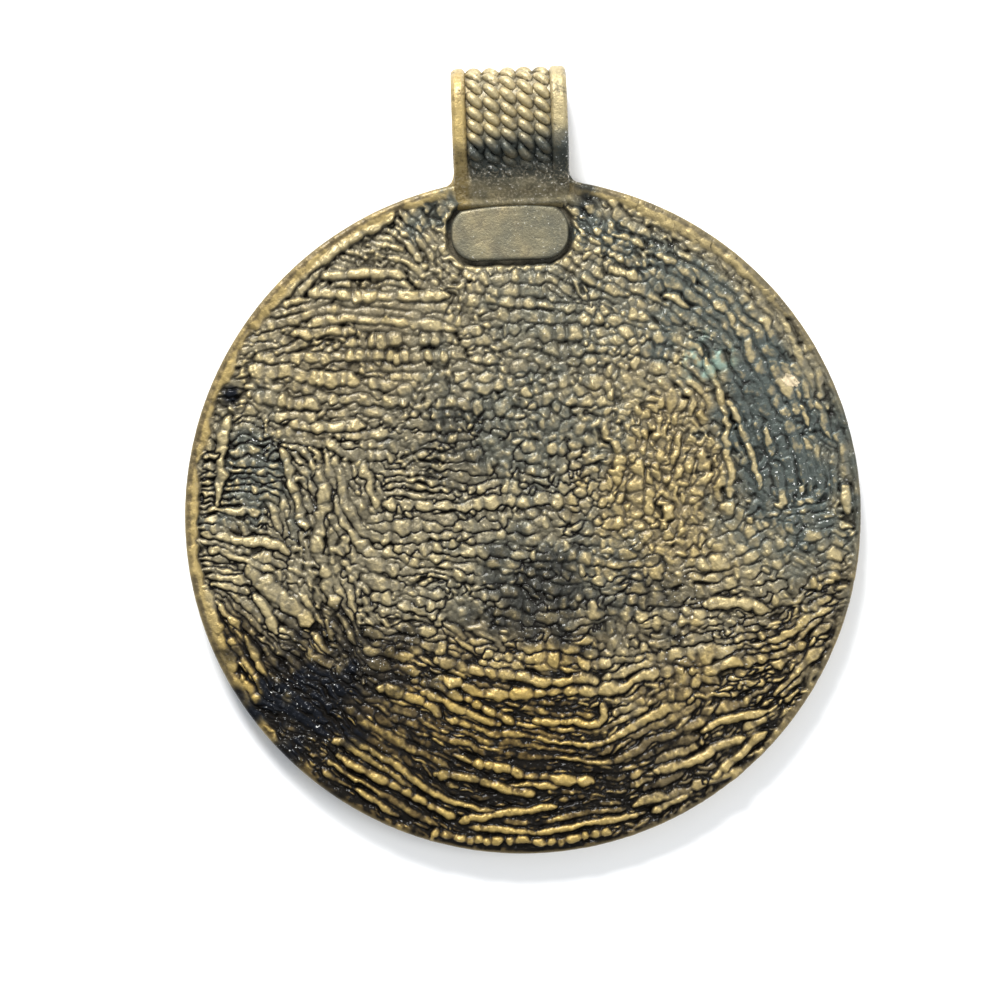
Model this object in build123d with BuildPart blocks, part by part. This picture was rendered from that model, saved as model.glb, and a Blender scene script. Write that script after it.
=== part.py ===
"""Medallion pendant of cast brass: a round disc with a knobbly cast back, a bare
pad below the bail, and a wide folded bail with five twisted wires between two plain
edges. The disc lies on its plain front face, with its back up and its bail at +Y."""

from build123d import *
from collections import namedtuple
from math import atan2, cos, degrees, hypot, pi, radians, sin, tan
import os

# Disc, in millimetres
disc_diameter = 60.0
plate_thickness = 2.6
rim_width = 1.4
rim_rise = 0.5
edge_round = 0.4

# Cast ridges of the back
ridge_width = 1.2
ridge_gap = 0.5
ridge_rise = 0.42
ridge_slope = 30.0
knob_length = 1.5
rim_clearance = 0.3

# Bare pad below the bail
pad_length = 10.5
pad_height = 4.9
pad_corner = 2.2
pad_rise = 0.55
pad_from_edge = 2.4
pad_shift = -0.3
groove_width = 0.45
groove_depth = 0.3

# Bail
bail_width = 10.2
bail_height = 9.75
bail_depth = 6.8
strap_wall = 0.7
left_edge_width = 1.3
right_edge_width = 1.5
bail_edge_round = 0.45
neck_height = 2.3
opening_corner = 0.5
foot_fillet = 0.8

# Apron: the slope where the end of the bail is laid on the back of the disc
apron_reach = 1.9
apron_run = 4.3
apron_bare = 2.2

# Twisted wires of the bail
wire_count = 5
wire_rise = 0.6
grain_pitch = 1.15
grain_width = 0.88
grain_slant = 33.0
grain_slope = 20.0
grain_fill = 0.93
grain_root = 0.1

# Places on the disc that follow from the sizes
disc_radius = disc_diameter / 2
field_radius = disc_radius - rim_width
back_level = plate_thickness + rim_rise
pad_y = disc_radius - pad_from_edge - pad_height / 2

# Side view of the bail: the bend, the opening and the apron
bail_top = disc_radius + bail_height
bend_radius = bail_depth / 2
bend_y = bail_top - bend_radius
opening_radius = bend_radius - strap_wall - wire_rise
opening_foot = disc_radius + neck_height
apron_foot = disc_radius - apron_reach
apron_head = apron_foot + apron_run
apron_slope = degrees(atan2(bail_depth - back_level, apron_run))
bare_end = apron_foot + apron_bare
buried_z = plate_thickness / 2
buried_y = apron_foot - (back_level - buried_z) / tan(radians(apron_slope))

# Wires side by side in the channel between the two edges
channel_width = bail_width - left_edge_width - right_edge_width
channel_x = (left_edge_width - right_edge_width) / 2
wire_width = channel_width / wire_count
grain_length = grain_fill * wire_width / cos(radians(grain_slant))
root_sink = wire_rise + grain_root
line_radius = bend_radius - wire_rise / 2

# Areas of the back: middles as shares of the field's radius, the way their ridges run
# in degrees from +X, and the knobs in a ridge. Where no way is given, they follow the rim.
Area = namedtuple("Area", "name x y way knobs")
areas = [
    Area("upper left", -0.42, 0.56, 0, 4),
    Area("top left", -0.50, 0.80, 28, 2),
    Area("left of pad", -0.27, 0.88, -45, 1),
    Area("right of pad", 0.28, 0.84, -38, 1),
    Area("top right", 0.56, 0.68, None, 2),
    Area("upper middle", 0.12, 0.50, -2, 2),
    Area("left", -0.86, 0.12, 0, 2),
    Area("left rim", -0.88, 0.38, None, 2),
    Area("middle", -0.18, 0.16, -1, 2),
    Area("middle right", 0.40, 0.16, 82, 1),
    Area("right", 0.82, 0.18, None, 3),
    Area("left folds", -0.60, -0.04, -74, 3),
    Area("lower left folds", -0.78, -0.30, -50, 3),
    Area("lower left rim", -0.66, -0.66, None, 3),
    Area("lower middle", -0.16, -0.22, -6, 3),
    Area("lower left rows", -0.26, -0.56, -16, 4),
    Area("lower right rows", 0.46, -0.34, 2, 2),
    Area("bottom right", 0.56, -0.72, None, 4),
    Area("bottom", 0.04, -0.86, None, 4),
]
row_pitch = ridge_width + ridge_gap
knob_step = knob_length + ridge_gap


def own_area(area, x, y):
    """Whether a point lies well inside this area, nearer to its middle than to others."""
    gaps = {a.name: hypot(x - a.x * field_radius, y - a.y * field_radius) for a in areas}
    own = gaps.pop(area.name)
    return min(gaps.values()) - own > knob_step


def on_open_field(x, y):
    """Whether a knob here stays on the cast field, clear of the rim, pad and apron."""
    margin = ridge_width / 2 + rim_clearance
    if hypot(x, y) > field_radius - margin:
        return False
    beside = abs(x - pad_shift) - pad_length / 2 - groove_width
    below = pad_y - pad_height / 2 - groove_width - y
    return beside > margin or below > margin


def row_points(area):
    """Rows of knob places across one area, straight or along the rim, as x, y, way."""
    half = int(field_radius / min(row_pitch, knob_step)) + 1
    for row in range(-half, half + 1):
        shift = knob_step * (row % 3) / 3
        if area.way is None:
            radius = field_radius - rim_clearance - (row + half + 0.5) * row_pitch
            if radius < row_pitch:
                return
            count = int(2 * pi * radius / knob_step)
            turns = [(i * knob_step + shift) / radius for i in range(count)]
            yield [(radius * cos(t), radius * sin(t), degrees(t) + 90) for t in turns]
        else:
            way = radians(area.way)
            middle = Vector(area.x, area.y) * field_radius
            along = Vector(cos(way), sin(way))
            across = Vector(-sin(way), cos(way)) * row * row_pitch
            steps = [i * knob_step + shift for i in range(-half, half + 1)]
            places = [middle + across + along * step for step in steps]
            yield [(p.X, p.Y, area.way) for p in places]


def ridges_by_knobs():
    """Where the ridges lie, gathered by how many knobs each has in its row."""
    found = {}
    for area in areas:
        for row in row_points(area):
            run = []
            for x, y, way in row + [(0, 2 * disc_radius, 0)]:
                fits = on_open_field(x, y) and own_area(area, x, y)
                if run and (not fits or len(run) == area.knobs):
                    middle = [sum(values) / len(run) for values in zip(*run)]
                    place = Location((middle[0], middle[1], 0), (0, 0, middle[2]))
                    found.setdefault(len(run), []).append(place)
                    run = []
                if fits:
                    run.append((x, y, way))
    return found


def wire_place(travel):
    """A point on the bail's outer side, from the apron over the bend to the front's foot,
    as its y, its z and how far its outward way has turned from +Z towards +Y."""
    back_run = bend_y - apron_head
    bend_run = pi * line_radius
    if travel < 0:
        tilt = radians(apron_slope)
        return apron_head + travel * cos(tilt), bail_depth + travel * sin(tilt), -apron_slope
    if travel < back_run:
        return apron_head + travel, bail_depth, 0.0
    if travel < back_run + bend_run:
        turn = (travel - back_run) / line_radius
        y = bend_y + bend_radius * sin(turn)
        return y, bend_radius + bend_radius * cos(turn), degrees(turn)
    return bend_y - (travel - back_run - bend_run), 0.0, 180.0


def grain_planes():
    """Planes of the grains' feet: wires side by side, each laid round the whole loop."""
    first = -(apron_run - apron_bare) / cos(radians(apron_slope)) + grain_width
    front_run = bend_y - disc_radius - grain_width
    last = bend_y - apron_head + pi * line_radius + front_run
    planes = []
    for row in range(int((last - first) / grain_pitch) + 1):
        y, z, turn = wire_place(first + row * grain_pitch)
        outward = Vector(0, 0, 1).rotate(Axis.X, -turn)
        slanted = Vector(1, 0, 0).rotate(Axis((0, 0, 0), outward), -grain_slant)
        foot = Vector(channel_x, y, z) - outward * root_sink
        for wire in range(wire_count):
            side = Vector((wire - (wire_count - 1) / 2) * wire_width, 0, 0)
            planes.append(Plane(origin=foot + side, x_dir=slanted, z_dir=outward))
    return planes


def bar_outline(length, width):
    """Corners of a bar along X with pointed ends."""
    tip = length / 2
    side = width / 2
    flank = tip - side
    return [(-tip, 0), (-flank, -side), (flank, -side), (tip, 0), (flank, side), (-flank, side)]


# Side view of the bail, filled, drawn flat with Y to the right and Z up. Its outline
# goes on down the apron into the plate.
with BuildSketch() as bail_side:
    with BuildLine():
        Polyline((buried_y, buried_z), (apron_head, bail_depth), (bend_y, bail_depth))
        ThreePointArc((bend_y, bail_depth), (bail_top, bend_radius), (bend_y, 0))
        Polyline((bend_y, 0), (buried_y, 0), (buried_y, buried_z))
    make_face()


def bail_edge(width):
    """One plain edge of the bail, still filled, with its outer corners rounded."""
    with BuildPart() as edge:
        with BuildSketch(Plane.YZ):
            add(bail_side.sketch)
        extrude(amount=width)
        sides = edges().filter_by(Axis.X, reverse=True)
        fillet(sides.filter_by(lambda e: e.center().Y > buried_y), bail_edge_round)
    return edge.part


left_edge = bail_edge(left_edge_width)
right_edge = bail_edge(right_edge_width)

# One grain of twisted wire, with its foot rooted in the channel's floor
with BuildPart() as grain:
    with BuildSketch():
        Polygon(*bar_outline(grain_length, grain_width))
    extrude(amount=root_sink, taper=grain_slope)

# Outline of the pad, its top edge following the rim
with BuildSketch() as pad_outline:
    with Locations((pad_shift, pad_y)):
        RectangleRounded(pad_length, pad_height, pad_corner)
    Circle(disc_radius - pad_from_edge, mode=Mode.INTERSECT)

# The whole pendant is one casting
with BuildPart() as pendant:
    # Plate with rounded edges and a sunk field inside its rim
    Cylinder(disc_radius, back_level, align=(Align.CENTER, Align.CENTER, Align.MIN))
    fillet(edges().filter_by(GeomType.CIRCLE), edge_round)
    with BuildSketch(Plane.XY.offset(back_level)):
        Circle(field_radius)
        with Locations((0, disc_radius)):
            Rectangle(bail_width, 2 * apron_reach, mode=Mode.SUBTRACT)
    extrude(amount=-rim_rise, mode=Mode.SUBTRACT)

    # Groove round the pad, and the pad standing in it
    with BuildSketch(Plane.XY.offset(plate_thickness)):
        add(pad_outline.sketch)
        offset(amount=groove_width)
    extrude(amount=-groove_depth, mode=Mode.SUBTRACT)
    with BuildSketch(Plane.XY.offset(plate_thickness - groove_depth)):
        add(pad_outline.sketch)
    extrude(amount=groove_depth + pad_rise)

    # Neck, with small fillets where it leaves the disc
    with BuildSketch(Plane.XY.offset(wire_rise)):
        Circle(disc_radius)
        with Locations((0, disc_radius)):
            Rectangle(bail_width, 2 * neck_height)
        corners = vertices().filter_by(lambda v: 0 < v.Y < disc_radius)
        fillet(corners.filter_by(lambda v: abs(v.X) > bail_width / 4), foot_fillet)
    extrude(amount=back_level - edge_round - wire_rise)

    # Bail: the channel's floor, the bare foot of the apron and the two plain edges
    inner_half = bail_width / 2 - bail_edge_round
    with BuildSketch(Plane.YZ):
        add(bail_side.sketch)
        offset(amount=-wire_rise, kind=Kind.INTERSECTION)
    extrude(amount=inner_half, both=True)
    with BuildSketch(Plane.YZ):
        add(bail_side.sketch)
        with Locations((bare_end, 0)):
            Rectangle(bail_height, bail_depth, align=(Align.MIN, Align.MIN), mode=Mode.SUBTRACT)
        with Locations((buried_y, 0)):
            Rectangle(bail_height, wire_rise, align=(Align.MIN, Align.MIN), mode=Mode.SUBTRACT)
    extrude(amount=inner_half, both=True)
    add(left_edge.moved(Location((-bail_width / 2, 0, 0))))
    add(right_edge.moved(Location((bail_width / 2 - right_edge_width, 0, 0))))

    # Opening for the chain, right through from side to side
    with BuildSketch(Plane.YZ):
        with Locations((bend_y, bend_radius)):
            Circle(opening_radius)
        with Locations(((opening_foot + bend_y) / 2, bend_radius)):
            Rectangle(bend_y - opening_foot, 2 * opening_radius)
        fillet(vertices().group_by(Axis.X)[0], opening_corner)
    extrude(amount=bail_width, both=True, mode=Mode.SUBTRACT)

    # Twisted wires
    with Locations(*grain_planes()):
        add(grain.part)

    # Cast ridges, each a low bar with sloping sides and pointed ends
    for knobs, places in ridges_by_knobs().items():
        with BuildSketch(Plane.XY.offset(plate_thickness)):
            with Locations(*places):
                Polygon(*bar_outline(knobs * knob_step - ridge_gap, ridge_width))
    extrude(amount=ridge_rise, taper=ridge_slope)

pendant.part.label = "pendant"
os.makedirs("parts", exist_ok=True)
export_step(pendant.part, "parts/pendant.step")
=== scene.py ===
"""Looks of the cast brass medallion pendant: its knobbly back, rim, bare pad, folded
bail and twisted wires, each made by an operator that the sidebar lists."""

import math
from collections import namedtuple
from itertools import count as numbers

import bpy
import numpy as np
from bpy.props import FloatProperty, FloatVectorProperty, IntProperty, PointerProperty
from mathutils import Matrix, Vector


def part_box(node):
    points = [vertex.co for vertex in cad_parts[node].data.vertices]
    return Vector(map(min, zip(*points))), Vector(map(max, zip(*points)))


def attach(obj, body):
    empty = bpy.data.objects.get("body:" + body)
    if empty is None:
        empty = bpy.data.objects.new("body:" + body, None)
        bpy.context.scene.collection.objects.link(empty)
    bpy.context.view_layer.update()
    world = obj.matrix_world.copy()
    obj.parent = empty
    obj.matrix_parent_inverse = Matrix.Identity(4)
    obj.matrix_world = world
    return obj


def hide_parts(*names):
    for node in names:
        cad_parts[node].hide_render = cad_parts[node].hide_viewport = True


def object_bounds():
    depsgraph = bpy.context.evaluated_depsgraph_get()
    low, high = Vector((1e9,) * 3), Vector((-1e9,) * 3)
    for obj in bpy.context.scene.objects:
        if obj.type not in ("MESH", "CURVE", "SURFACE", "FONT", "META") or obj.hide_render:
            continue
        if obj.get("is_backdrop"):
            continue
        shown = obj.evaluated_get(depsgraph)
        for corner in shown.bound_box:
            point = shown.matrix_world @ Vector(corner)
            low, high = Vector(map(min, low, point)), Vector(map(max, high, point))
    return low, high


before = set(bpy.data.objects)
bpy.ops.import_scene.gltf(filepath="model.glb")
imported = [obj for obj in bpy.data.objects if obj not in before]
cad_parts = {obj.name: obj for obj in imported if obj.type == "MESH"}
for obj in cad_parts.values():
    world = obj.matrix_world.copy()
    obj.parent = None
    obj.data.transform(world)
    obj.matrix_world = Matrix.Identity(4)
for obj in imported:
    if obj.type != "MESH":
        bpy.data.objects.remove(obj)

bl_info = {
    "name": "Cast medallion pendant",
    "version": (1, 0, 0),
    "blender": (4, 5, 0),
    "location": "View3D > Sidebar > Pendant",
    "description": "Builds the cast back, pad, bail and twisted wires of a brass medallion",
    "category": "Object",
}

MM = 0.001
NODE = "pendant"
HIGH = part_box(NODE)[1]
CAD_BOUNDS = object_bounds()


# Sizes and colours that a maker may change


def length(name, default, description):
    """A size in millimetres, shown as a length."""
    return FloatProperty(
        name=name, description=description, default=default * MM, min=0.0, unit="LENGTH", precision=5
    )


def colour(name, default, description):
    """A colour, given as scene-linear red, green and blue."""
    return FloatVectorProperty(
        name=name, description=description, default=default, min=0.0, max=1.0, size=3, subtype="COLOR"
    )


class PendantSizes(bpy.types.PropertyGroup):
    """Sizes of the pendant's visible forms."""

    disc_radius: length("Disc radius", HIGH.x / MM, "From the disc's centre to its rim")
    rim_level: length("Rim level", 3.1, "Height of the rim above the front face")
    rim_width: length("Rim width", 1.25, "Width of the plain raised rim")
    edge_round: length("Edge rounding", 0.4, "Rounding of the disc's outer edges")
    ridge_depth: length("Ridge depth", 0.56, "Depth of the cast ridges of the back")
    pad_length: length("Pad length", 10.5, "Length of the bare pad below the bail")
    pad_height: length("Pad height", 4.9, "Height of the bare pad")
    pad_corner: length("Pad corner", 2.2, "Rounding of the pad's ends")
    pad_gap: length("Pad from edge", 2.4, "From the disc's edge to the top of the pad")
    pad_shift: length("Pad shift", 0.3, "How far the pad sits left of the middle")
    pad_groove: length("Pad groove", 0.42, "Width of the groove round the pad")
    pad_level: length("Pad level", 3.12, "Height of the pad's face above the front face")
    bail_width: length("Bail width", 10.2, "Width of the bail from side to side")
    bail_top: length("Bail top", 39.75, "From the disc's centre to the top of the bail")
    bail_depth: length("Bail depth", HIGH.z / MM, "Depth of the folded bail")
    strap_wall: length("Strap wall", 0.7, "Thickness of the strap under the wires")
    left_edge: length("Left edge", 1.3, "Width of the bail's left plain edge")
    right_edge: length("Right edge", 1.5, "Width of the bail's right plain edge")
    wire_rise: length("Wire rise", 0.6, "Height of the wires above the strap")
    twist_lead: length("Twist lead", 2.3, "Length of one full turn of a twisted wire")
    wires: IntProperty(name="Wires", description="Twisted wires side by side", default=5, min=1)
    fineness: IntProperty(
        name="Fineness", description="Steps of the back's mesh from its middle to its rim",
        default=304, min=20,
    )


class PendantColours(bpy.types.PropertyGroup):
    """Colours of the aged brass."""

    bright: colour("Bright brass", (0.33, 0.27, 0.145), "Rubbed high spots")
    dull: colour("Dull brass", (0.15, 0.130, 0.085), "Unrubbed brass between them")
    gold: colour("Golden brass", (0.30, 0.207, 0.058), "Rubbed high spots in golden places")
    brown: colour("Brown brass", (0.09, 0.056, 0.015), "Unrubbed brass in golden places")
    # Near black for the hollows and creases, standing for dirt and tarnish and for painted shade
    hollow: colour("Hollows", (0.006, 0.0048, 0.0035), "Dirt and tarnish in the hollows")
    tarnish: colour("Black tarnish", (0.005, 0.006, 0.0085), "Blue-black patches")
    steel: colour("Grey tarnish", (0.060, 0.070, 0.063), "Grey veil on the right side")
    verdigris: colour("Verdigris", (0.20, 0.28, 0.23), "Green-grey bloom")
    pale: colour("Pale spot", (0.50, 0.41, 0.27), "Sandy spot on the right side")
    # Painted glints: near white specks that stand in for highlights in the tarnish
    fleck: colour("Flecks", (0.80, 0.80, 0.76), "Tiny bare flecks in the tarnish")


def sizes():
    """The sizes in millimetres, as plain numbers."""
    group = bpy.context.scene.pendant_sizes
    values = {}
    for name in PendantSizes.__annotations__:
        value = getattr(group, name)
        values[name] = value / MM if isinstance(value, float) else value
    return namedtuple("Sizes", values)(**values)


# Cast back: areas of ridges, places as shares of the disc's radius. The way is in degrees
# from +X, or None along the rim; pitch and knob length are in millimetres. Swell says how
# far the knobs stand out of their row, and sway how crumpled the rows are.
Area = namedtuple("Area", "name x y way pitch knob swell sway")
AREAS = [
    Area("top left rim", -0.63, 0.75, 40, 0.85, 2.6, 0.25, 0.3),
    Area("top left", -0.40, 0.76, -12, 0.72, 1.7, 0.35, 0.4),
    Area("upper left", -0.42, 0.61, -3, 0.74, 1.5, 0.30, 0.3),
    Area("upper left edge", -0.68, 0.60, 12, 0.66, 1.1, 0.45, 0.5),
    Area("left rows", -0.60, 0.46, -5, 1.10, 1.2, 0.55, 0.3),
    Area("left of pad", -0.26, 0.84, -52, 0.85, 1.0, 0.60, 0.8),
    Area("below pad", 0.00, 0.70, -2, 1.00, 1.2, 0.55, 0.5),
    Area("right of pad", 0.26, 0.82, -42, 0.85, 0.9, 0.80, 0.9),
    Area("upper middle", -0.05, 0.54, -1, 1.15, 1.15, 0.80, 0.4),
    Area("top right", 0.48, 0.74, None, 0.85, 1.6, 0.40, 0.6),
    Area("right upper", 0.72, 0.50, None, 0.90, 1.6, 0.45, 0.7),
    Area("upper right rows", 0.30, 0.52, -8, 1.15, 1.1, 0.75, 0.5),
    Area("left short rows", -0.80, 0.12, -4, 0.75, 1.0, 0.65, 0.8),
    Area("left low rows", -0.84, -0.06, -12, 0.75, 1.6, 0.40, 0.6),
    Area("middle left", -0.38, 0.26, -4, 1.00, 1.1, 0.75, 0.6),
    Area("middle", 0.02, 0.24, -2, 1.12, 1.0, 0.85, 0.6),
    Area("middle right", 0.42, 0.16, 84, 1.00, 1.0, 0.85, 0.9),
    Area("right", 0.76, 0.14, None, 0.90, 1.8, 0.40, 0.7),
    Area("left folds", -0.62, 0.02, -80, 0.80, 1.8, 0.50, 0.7),
    Area("left folds foot", -0.56, -0.22, -64, 0.80, 1.6, 0.50, 0.7),
    Area("lower left fan", -0.72, -0.28, -46, 0.80, 1.8, 0.45, 0.7),
    Area("lower left rim", -0.86, -0.38, None, 0.75, 1.8, 0.40, 0.6),
    Area("lower left dark", -0.64, -0.56, -38, 0.85, 1.4, 0.50, 0.8),
    Area("centre low left", -0.30, -0.08, -4, 1.10, 1.2, 0.70, 0.6),
    Area("centre low", 0.06, -0.16, -7, 1.15, 1.1, 0.80, 0.6),
    Area("lower left rows", -0.32, -0.40, -12, 1.15, 1.3, 0.75, 0.5),
    Area("lower rows", 0.00, -0.42, -6, 1.15, 1.3, 0.70, 0.5),
    Area("lower left sweep", -0.28, -0.60, -24, 0.95, 2.2, 0.35, 0.5),
    Area("bottom left sweep", -0.44, -0.76, -32, 0.90, 2.8, 0.20, 0.4),
    Area("bottom sweep", 0.02, -0.72, -6, 0.95, 2.6, 0.30, 0.5),
    Area("bottom", 0.02, -0.92, None, 0.90, 3.2, 0.20, 0.4),
    Area("lower right rows", 0.40, -0.34, 2, 1.20, 1.1, 0.80, 0.6),
    Area("lower right", 0.64, -0.42, 8, 1.15, 1.2, 0.75, 0.6),
    Area("bottom right", 0.50, -0.70, 22, 0.90, 2.6, 0.30, 0.5),
    Area("right low", 0.82, -0.14, 12, 1.05, 1.2, 0.70, 0.7),
    Area("right rim low", 0.84, -0.46, 42, 0.80, 1.8, 0.35, 0.6),
]

# Ridges that stand out of the rows, each by the places that it runs through, in millimetres
# on a disc of the drawn radius. They are laid first, and the rows make way for them.
DRAWN_RADIUS = 30.0
Bold = namedtuple("Bold", "name run width knob swell")
BOLD = [
    Bold("inner left fold", ((-18.2, 5.2), (-17.7, 1.0), (-18.2, -3.5), (-16.8, -8.0)), 1.10, 1.4, 0.55),
    Bold("outer left fold", ((-21.4, 6.6), (-20.3, 3.0), (-19.6, -1.0)), 0.84, 1.4, 0.50),
    Bold("left rim ridge", ((-25.9, 9.7), (-26.3, 5.5), (-27.0, 1.4)), 0.89, 1.3, 0.50),
    Bold("upper fan", ((-28.6, -0.6), (-24.5, -1.6), (-20.6, -2.6)), 0.79, 1.7, 0.40),
    Bold("middle fan", ((-28.2, -2.0), (-25.0, -3.2), (-22.0, -4.6)), 0.84, 1.7, 0.40),
    Bold("broad fan", ((-25.0, -3.8), (-22.2, -6.6), (-19.2, -9.2)), 1.31, 2.0, 0.35),
    Bold("short fan", ((-24.2, -6.0), (-23.0, -7.9), (-22.1, -10.0)), 0.89, 1.6, 0.40),
    Bold("low rim ridge", ((-28.7, -5.2), (-27.6, -9.5), (-26.0, -13.4)), 1.16, 1.8, 0.40),
    Bold("low left ridge", ((-25.2, -9.6), (-24.0, -12.4), (-22.8, -14.9)), 0.79, 1.7, 0.40),
    Bold("bottom left sweep", ((-17.3, -20.7), (-13.0, -23.3), (-9.5, -25.4), (-6.4, -27.0)),
         1.05, 1.6, 0.50),
    Bold("bottom sweep", ((-6.8, -27.1), (-2.5, -26.3), (2.4, -25.9)), 0.89, 2.1, 0.35),
    Bold("low left crest", ((-13.8, -14.7), (-10.6, -15.9), (-7.6, -17.8)), 1.21, 1.6, 0.50),
    Bold("low middle crest", ((-9.8, -14.5), (-6.0, -16.0), (-3.2, -17.6), (-1.2, -18.7)), 1.05, 1.3, 0.60),
    Bold("middle crest", ((-8.5, -12.4), (-4.2, -13.9), (1.0, -14.7), (6.5, -14.9)), 1.16, 1.6, 0.55),
    Bold("low crest", ((-8.9, -22.6), (-4.6, -23.5), (-2.4, -24.4), (0.6, -24.9)), 1.10, 1.6, 0.50),
    Bold("low right crest", ((-5.6, -21.9), (-2.4, -22.6), (1.6, -23.6), (5.6, -23.9)), 1.21, 1.6, 0.55),
    Bold("hooked crest", ((-0.2, -18.3), (3.2, -18.5), (5.8, -18.9), (6.9, -17.8), (6.2, -16.6)),
         0.89, 1.6, 0.45),
    Bold("right crest", ((13.9, -14.4), (18.0, -14.1), (21.6, -13.5), (25.0, -12.3)), 1.10, 1.3, 0.65),
    Bold("right bar", ((15.4, -8.4), (18.6, -8.7), (21.6, -9.2)), 1.00, 1.3, 0.55),
    Bold("right sweep", ((10.6, -23.3), (14.6, -22.2), (19.2, -20.3)), 0.95, 2.3, 0.30),
    Bold("right upper sweep", ((15.0, -19.8), (18.2, -18.7), (21.2, -18.0)), 0.89, 2.1, 0.30),
    Bold("low right sweep", ((8.8, -26.1), (14.0, -24.9), (18.6, -23.2)), 1.00, 2.3, 0.30),
    Bold("broad left row", ((-24.0, 13.5), (-20.6, 13.2), (-17.8, 12.4), (-14.0, 12.2)), 1.35, 1.0, 0.65),
    Bold("long beaded row", ((-23.4, 14.6), (-15.0, 14.4), (-8.0, 14.2), (-4.5, 14.1)), 0.95, 0.9, 0.75),
    Bold("sloping left row", ((-24.4, 11.4), (-21.6, 10.8), (-17.4, 10.0)), 1.15, 1.0, 0.70),
    Bold("low left row", ((-20.6, 8.6), (-17.5, 8.3), (-13.8, 8.5)), 0.95, 1.1, 0.60),
    Bold("round beads", ((-13.6, 15.6), (-9.0, 15.6), (-5.2, 15.8)), 1.20, 1.0, 0.80),
    Bold("short high row", ((-20.2, 16.7), (-17.0, 16.7), (-14.2, 16.6)), 0.95, 1.0, 0.65),
    Bold("upper smooth row", ((-18.6, 20.3), (-13.6, 19.7), (-6.0, 19.6)), 0.95, 1.3, 0.55),
    Bold("high smooth row", ((-17.4, 21.6), (-13.4, 21.8), (-9.6, 21.4)), 0.90, 1.5, 0.45),
    Bold("upper left rim", ((-10.6, 26.9), (-15.0, 24.5), (-19.0, 21.6), (-22.3, 18.6)), 0.85, 1.4, 0.35),
    Bold("first dash", ((8.6, 24.6), (11.8, 23.4)), 0.70, 1.1, 0.40),
    Bold("second dash", ((12.4, 22.9), (14.6, 21.4), (16.0, 19.8)), 0.80, 1.1, 0.40),
    Bold("third dash", ((8.2, 21.4), (11.6, 20.4)), 0.75, 1.1, 0.45),
    Bold("fourth dash", ((13.0, 19.2), (15.6, 17.8)), 0.65, 1.1, 0.40),
    Bold("bottom rim", ((-9.4, -27.9), (-4.6, -28.8), (2.0, -29.1), (7.6, -28.3)), 0.95, 0.9, 0.70),
    Bold("low right rim", ((10.4, -26.9), (16.0, -24.0), (21.0, -19.8)), 0.80, 1.4, 0.40),
    Bold("right fold", ((18.4, 9.6), (19.4, 7.4), (20.2, 5.2), (21.0, 1.4)), 0.84, 1.4, 0.45),
    Bold("first streak", ((21.6, 7.5), (22.4, 4.0)), 0.60, 1.4, 0.40),
    Bold("second streak", ((24.9, 9.2), (25.6, 6.6)), 0.55, 1.4, 0.40),
    Bold("third streak", ((26.4, 9.2), (27.3, 5.6)), 0.70, 1.4, 0.40),
    Bold("fourth streak", ((28.4, 2.0), (28.7, -0.8)), 0.85, 1.2, 0.40),
    Bold("fifth streak", ((16.6, 13.4), (17.8, 9.8), (18.2, 5.0), (18.4, 0.8)), 0.70, 1.2, 0.50),
]
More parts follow.
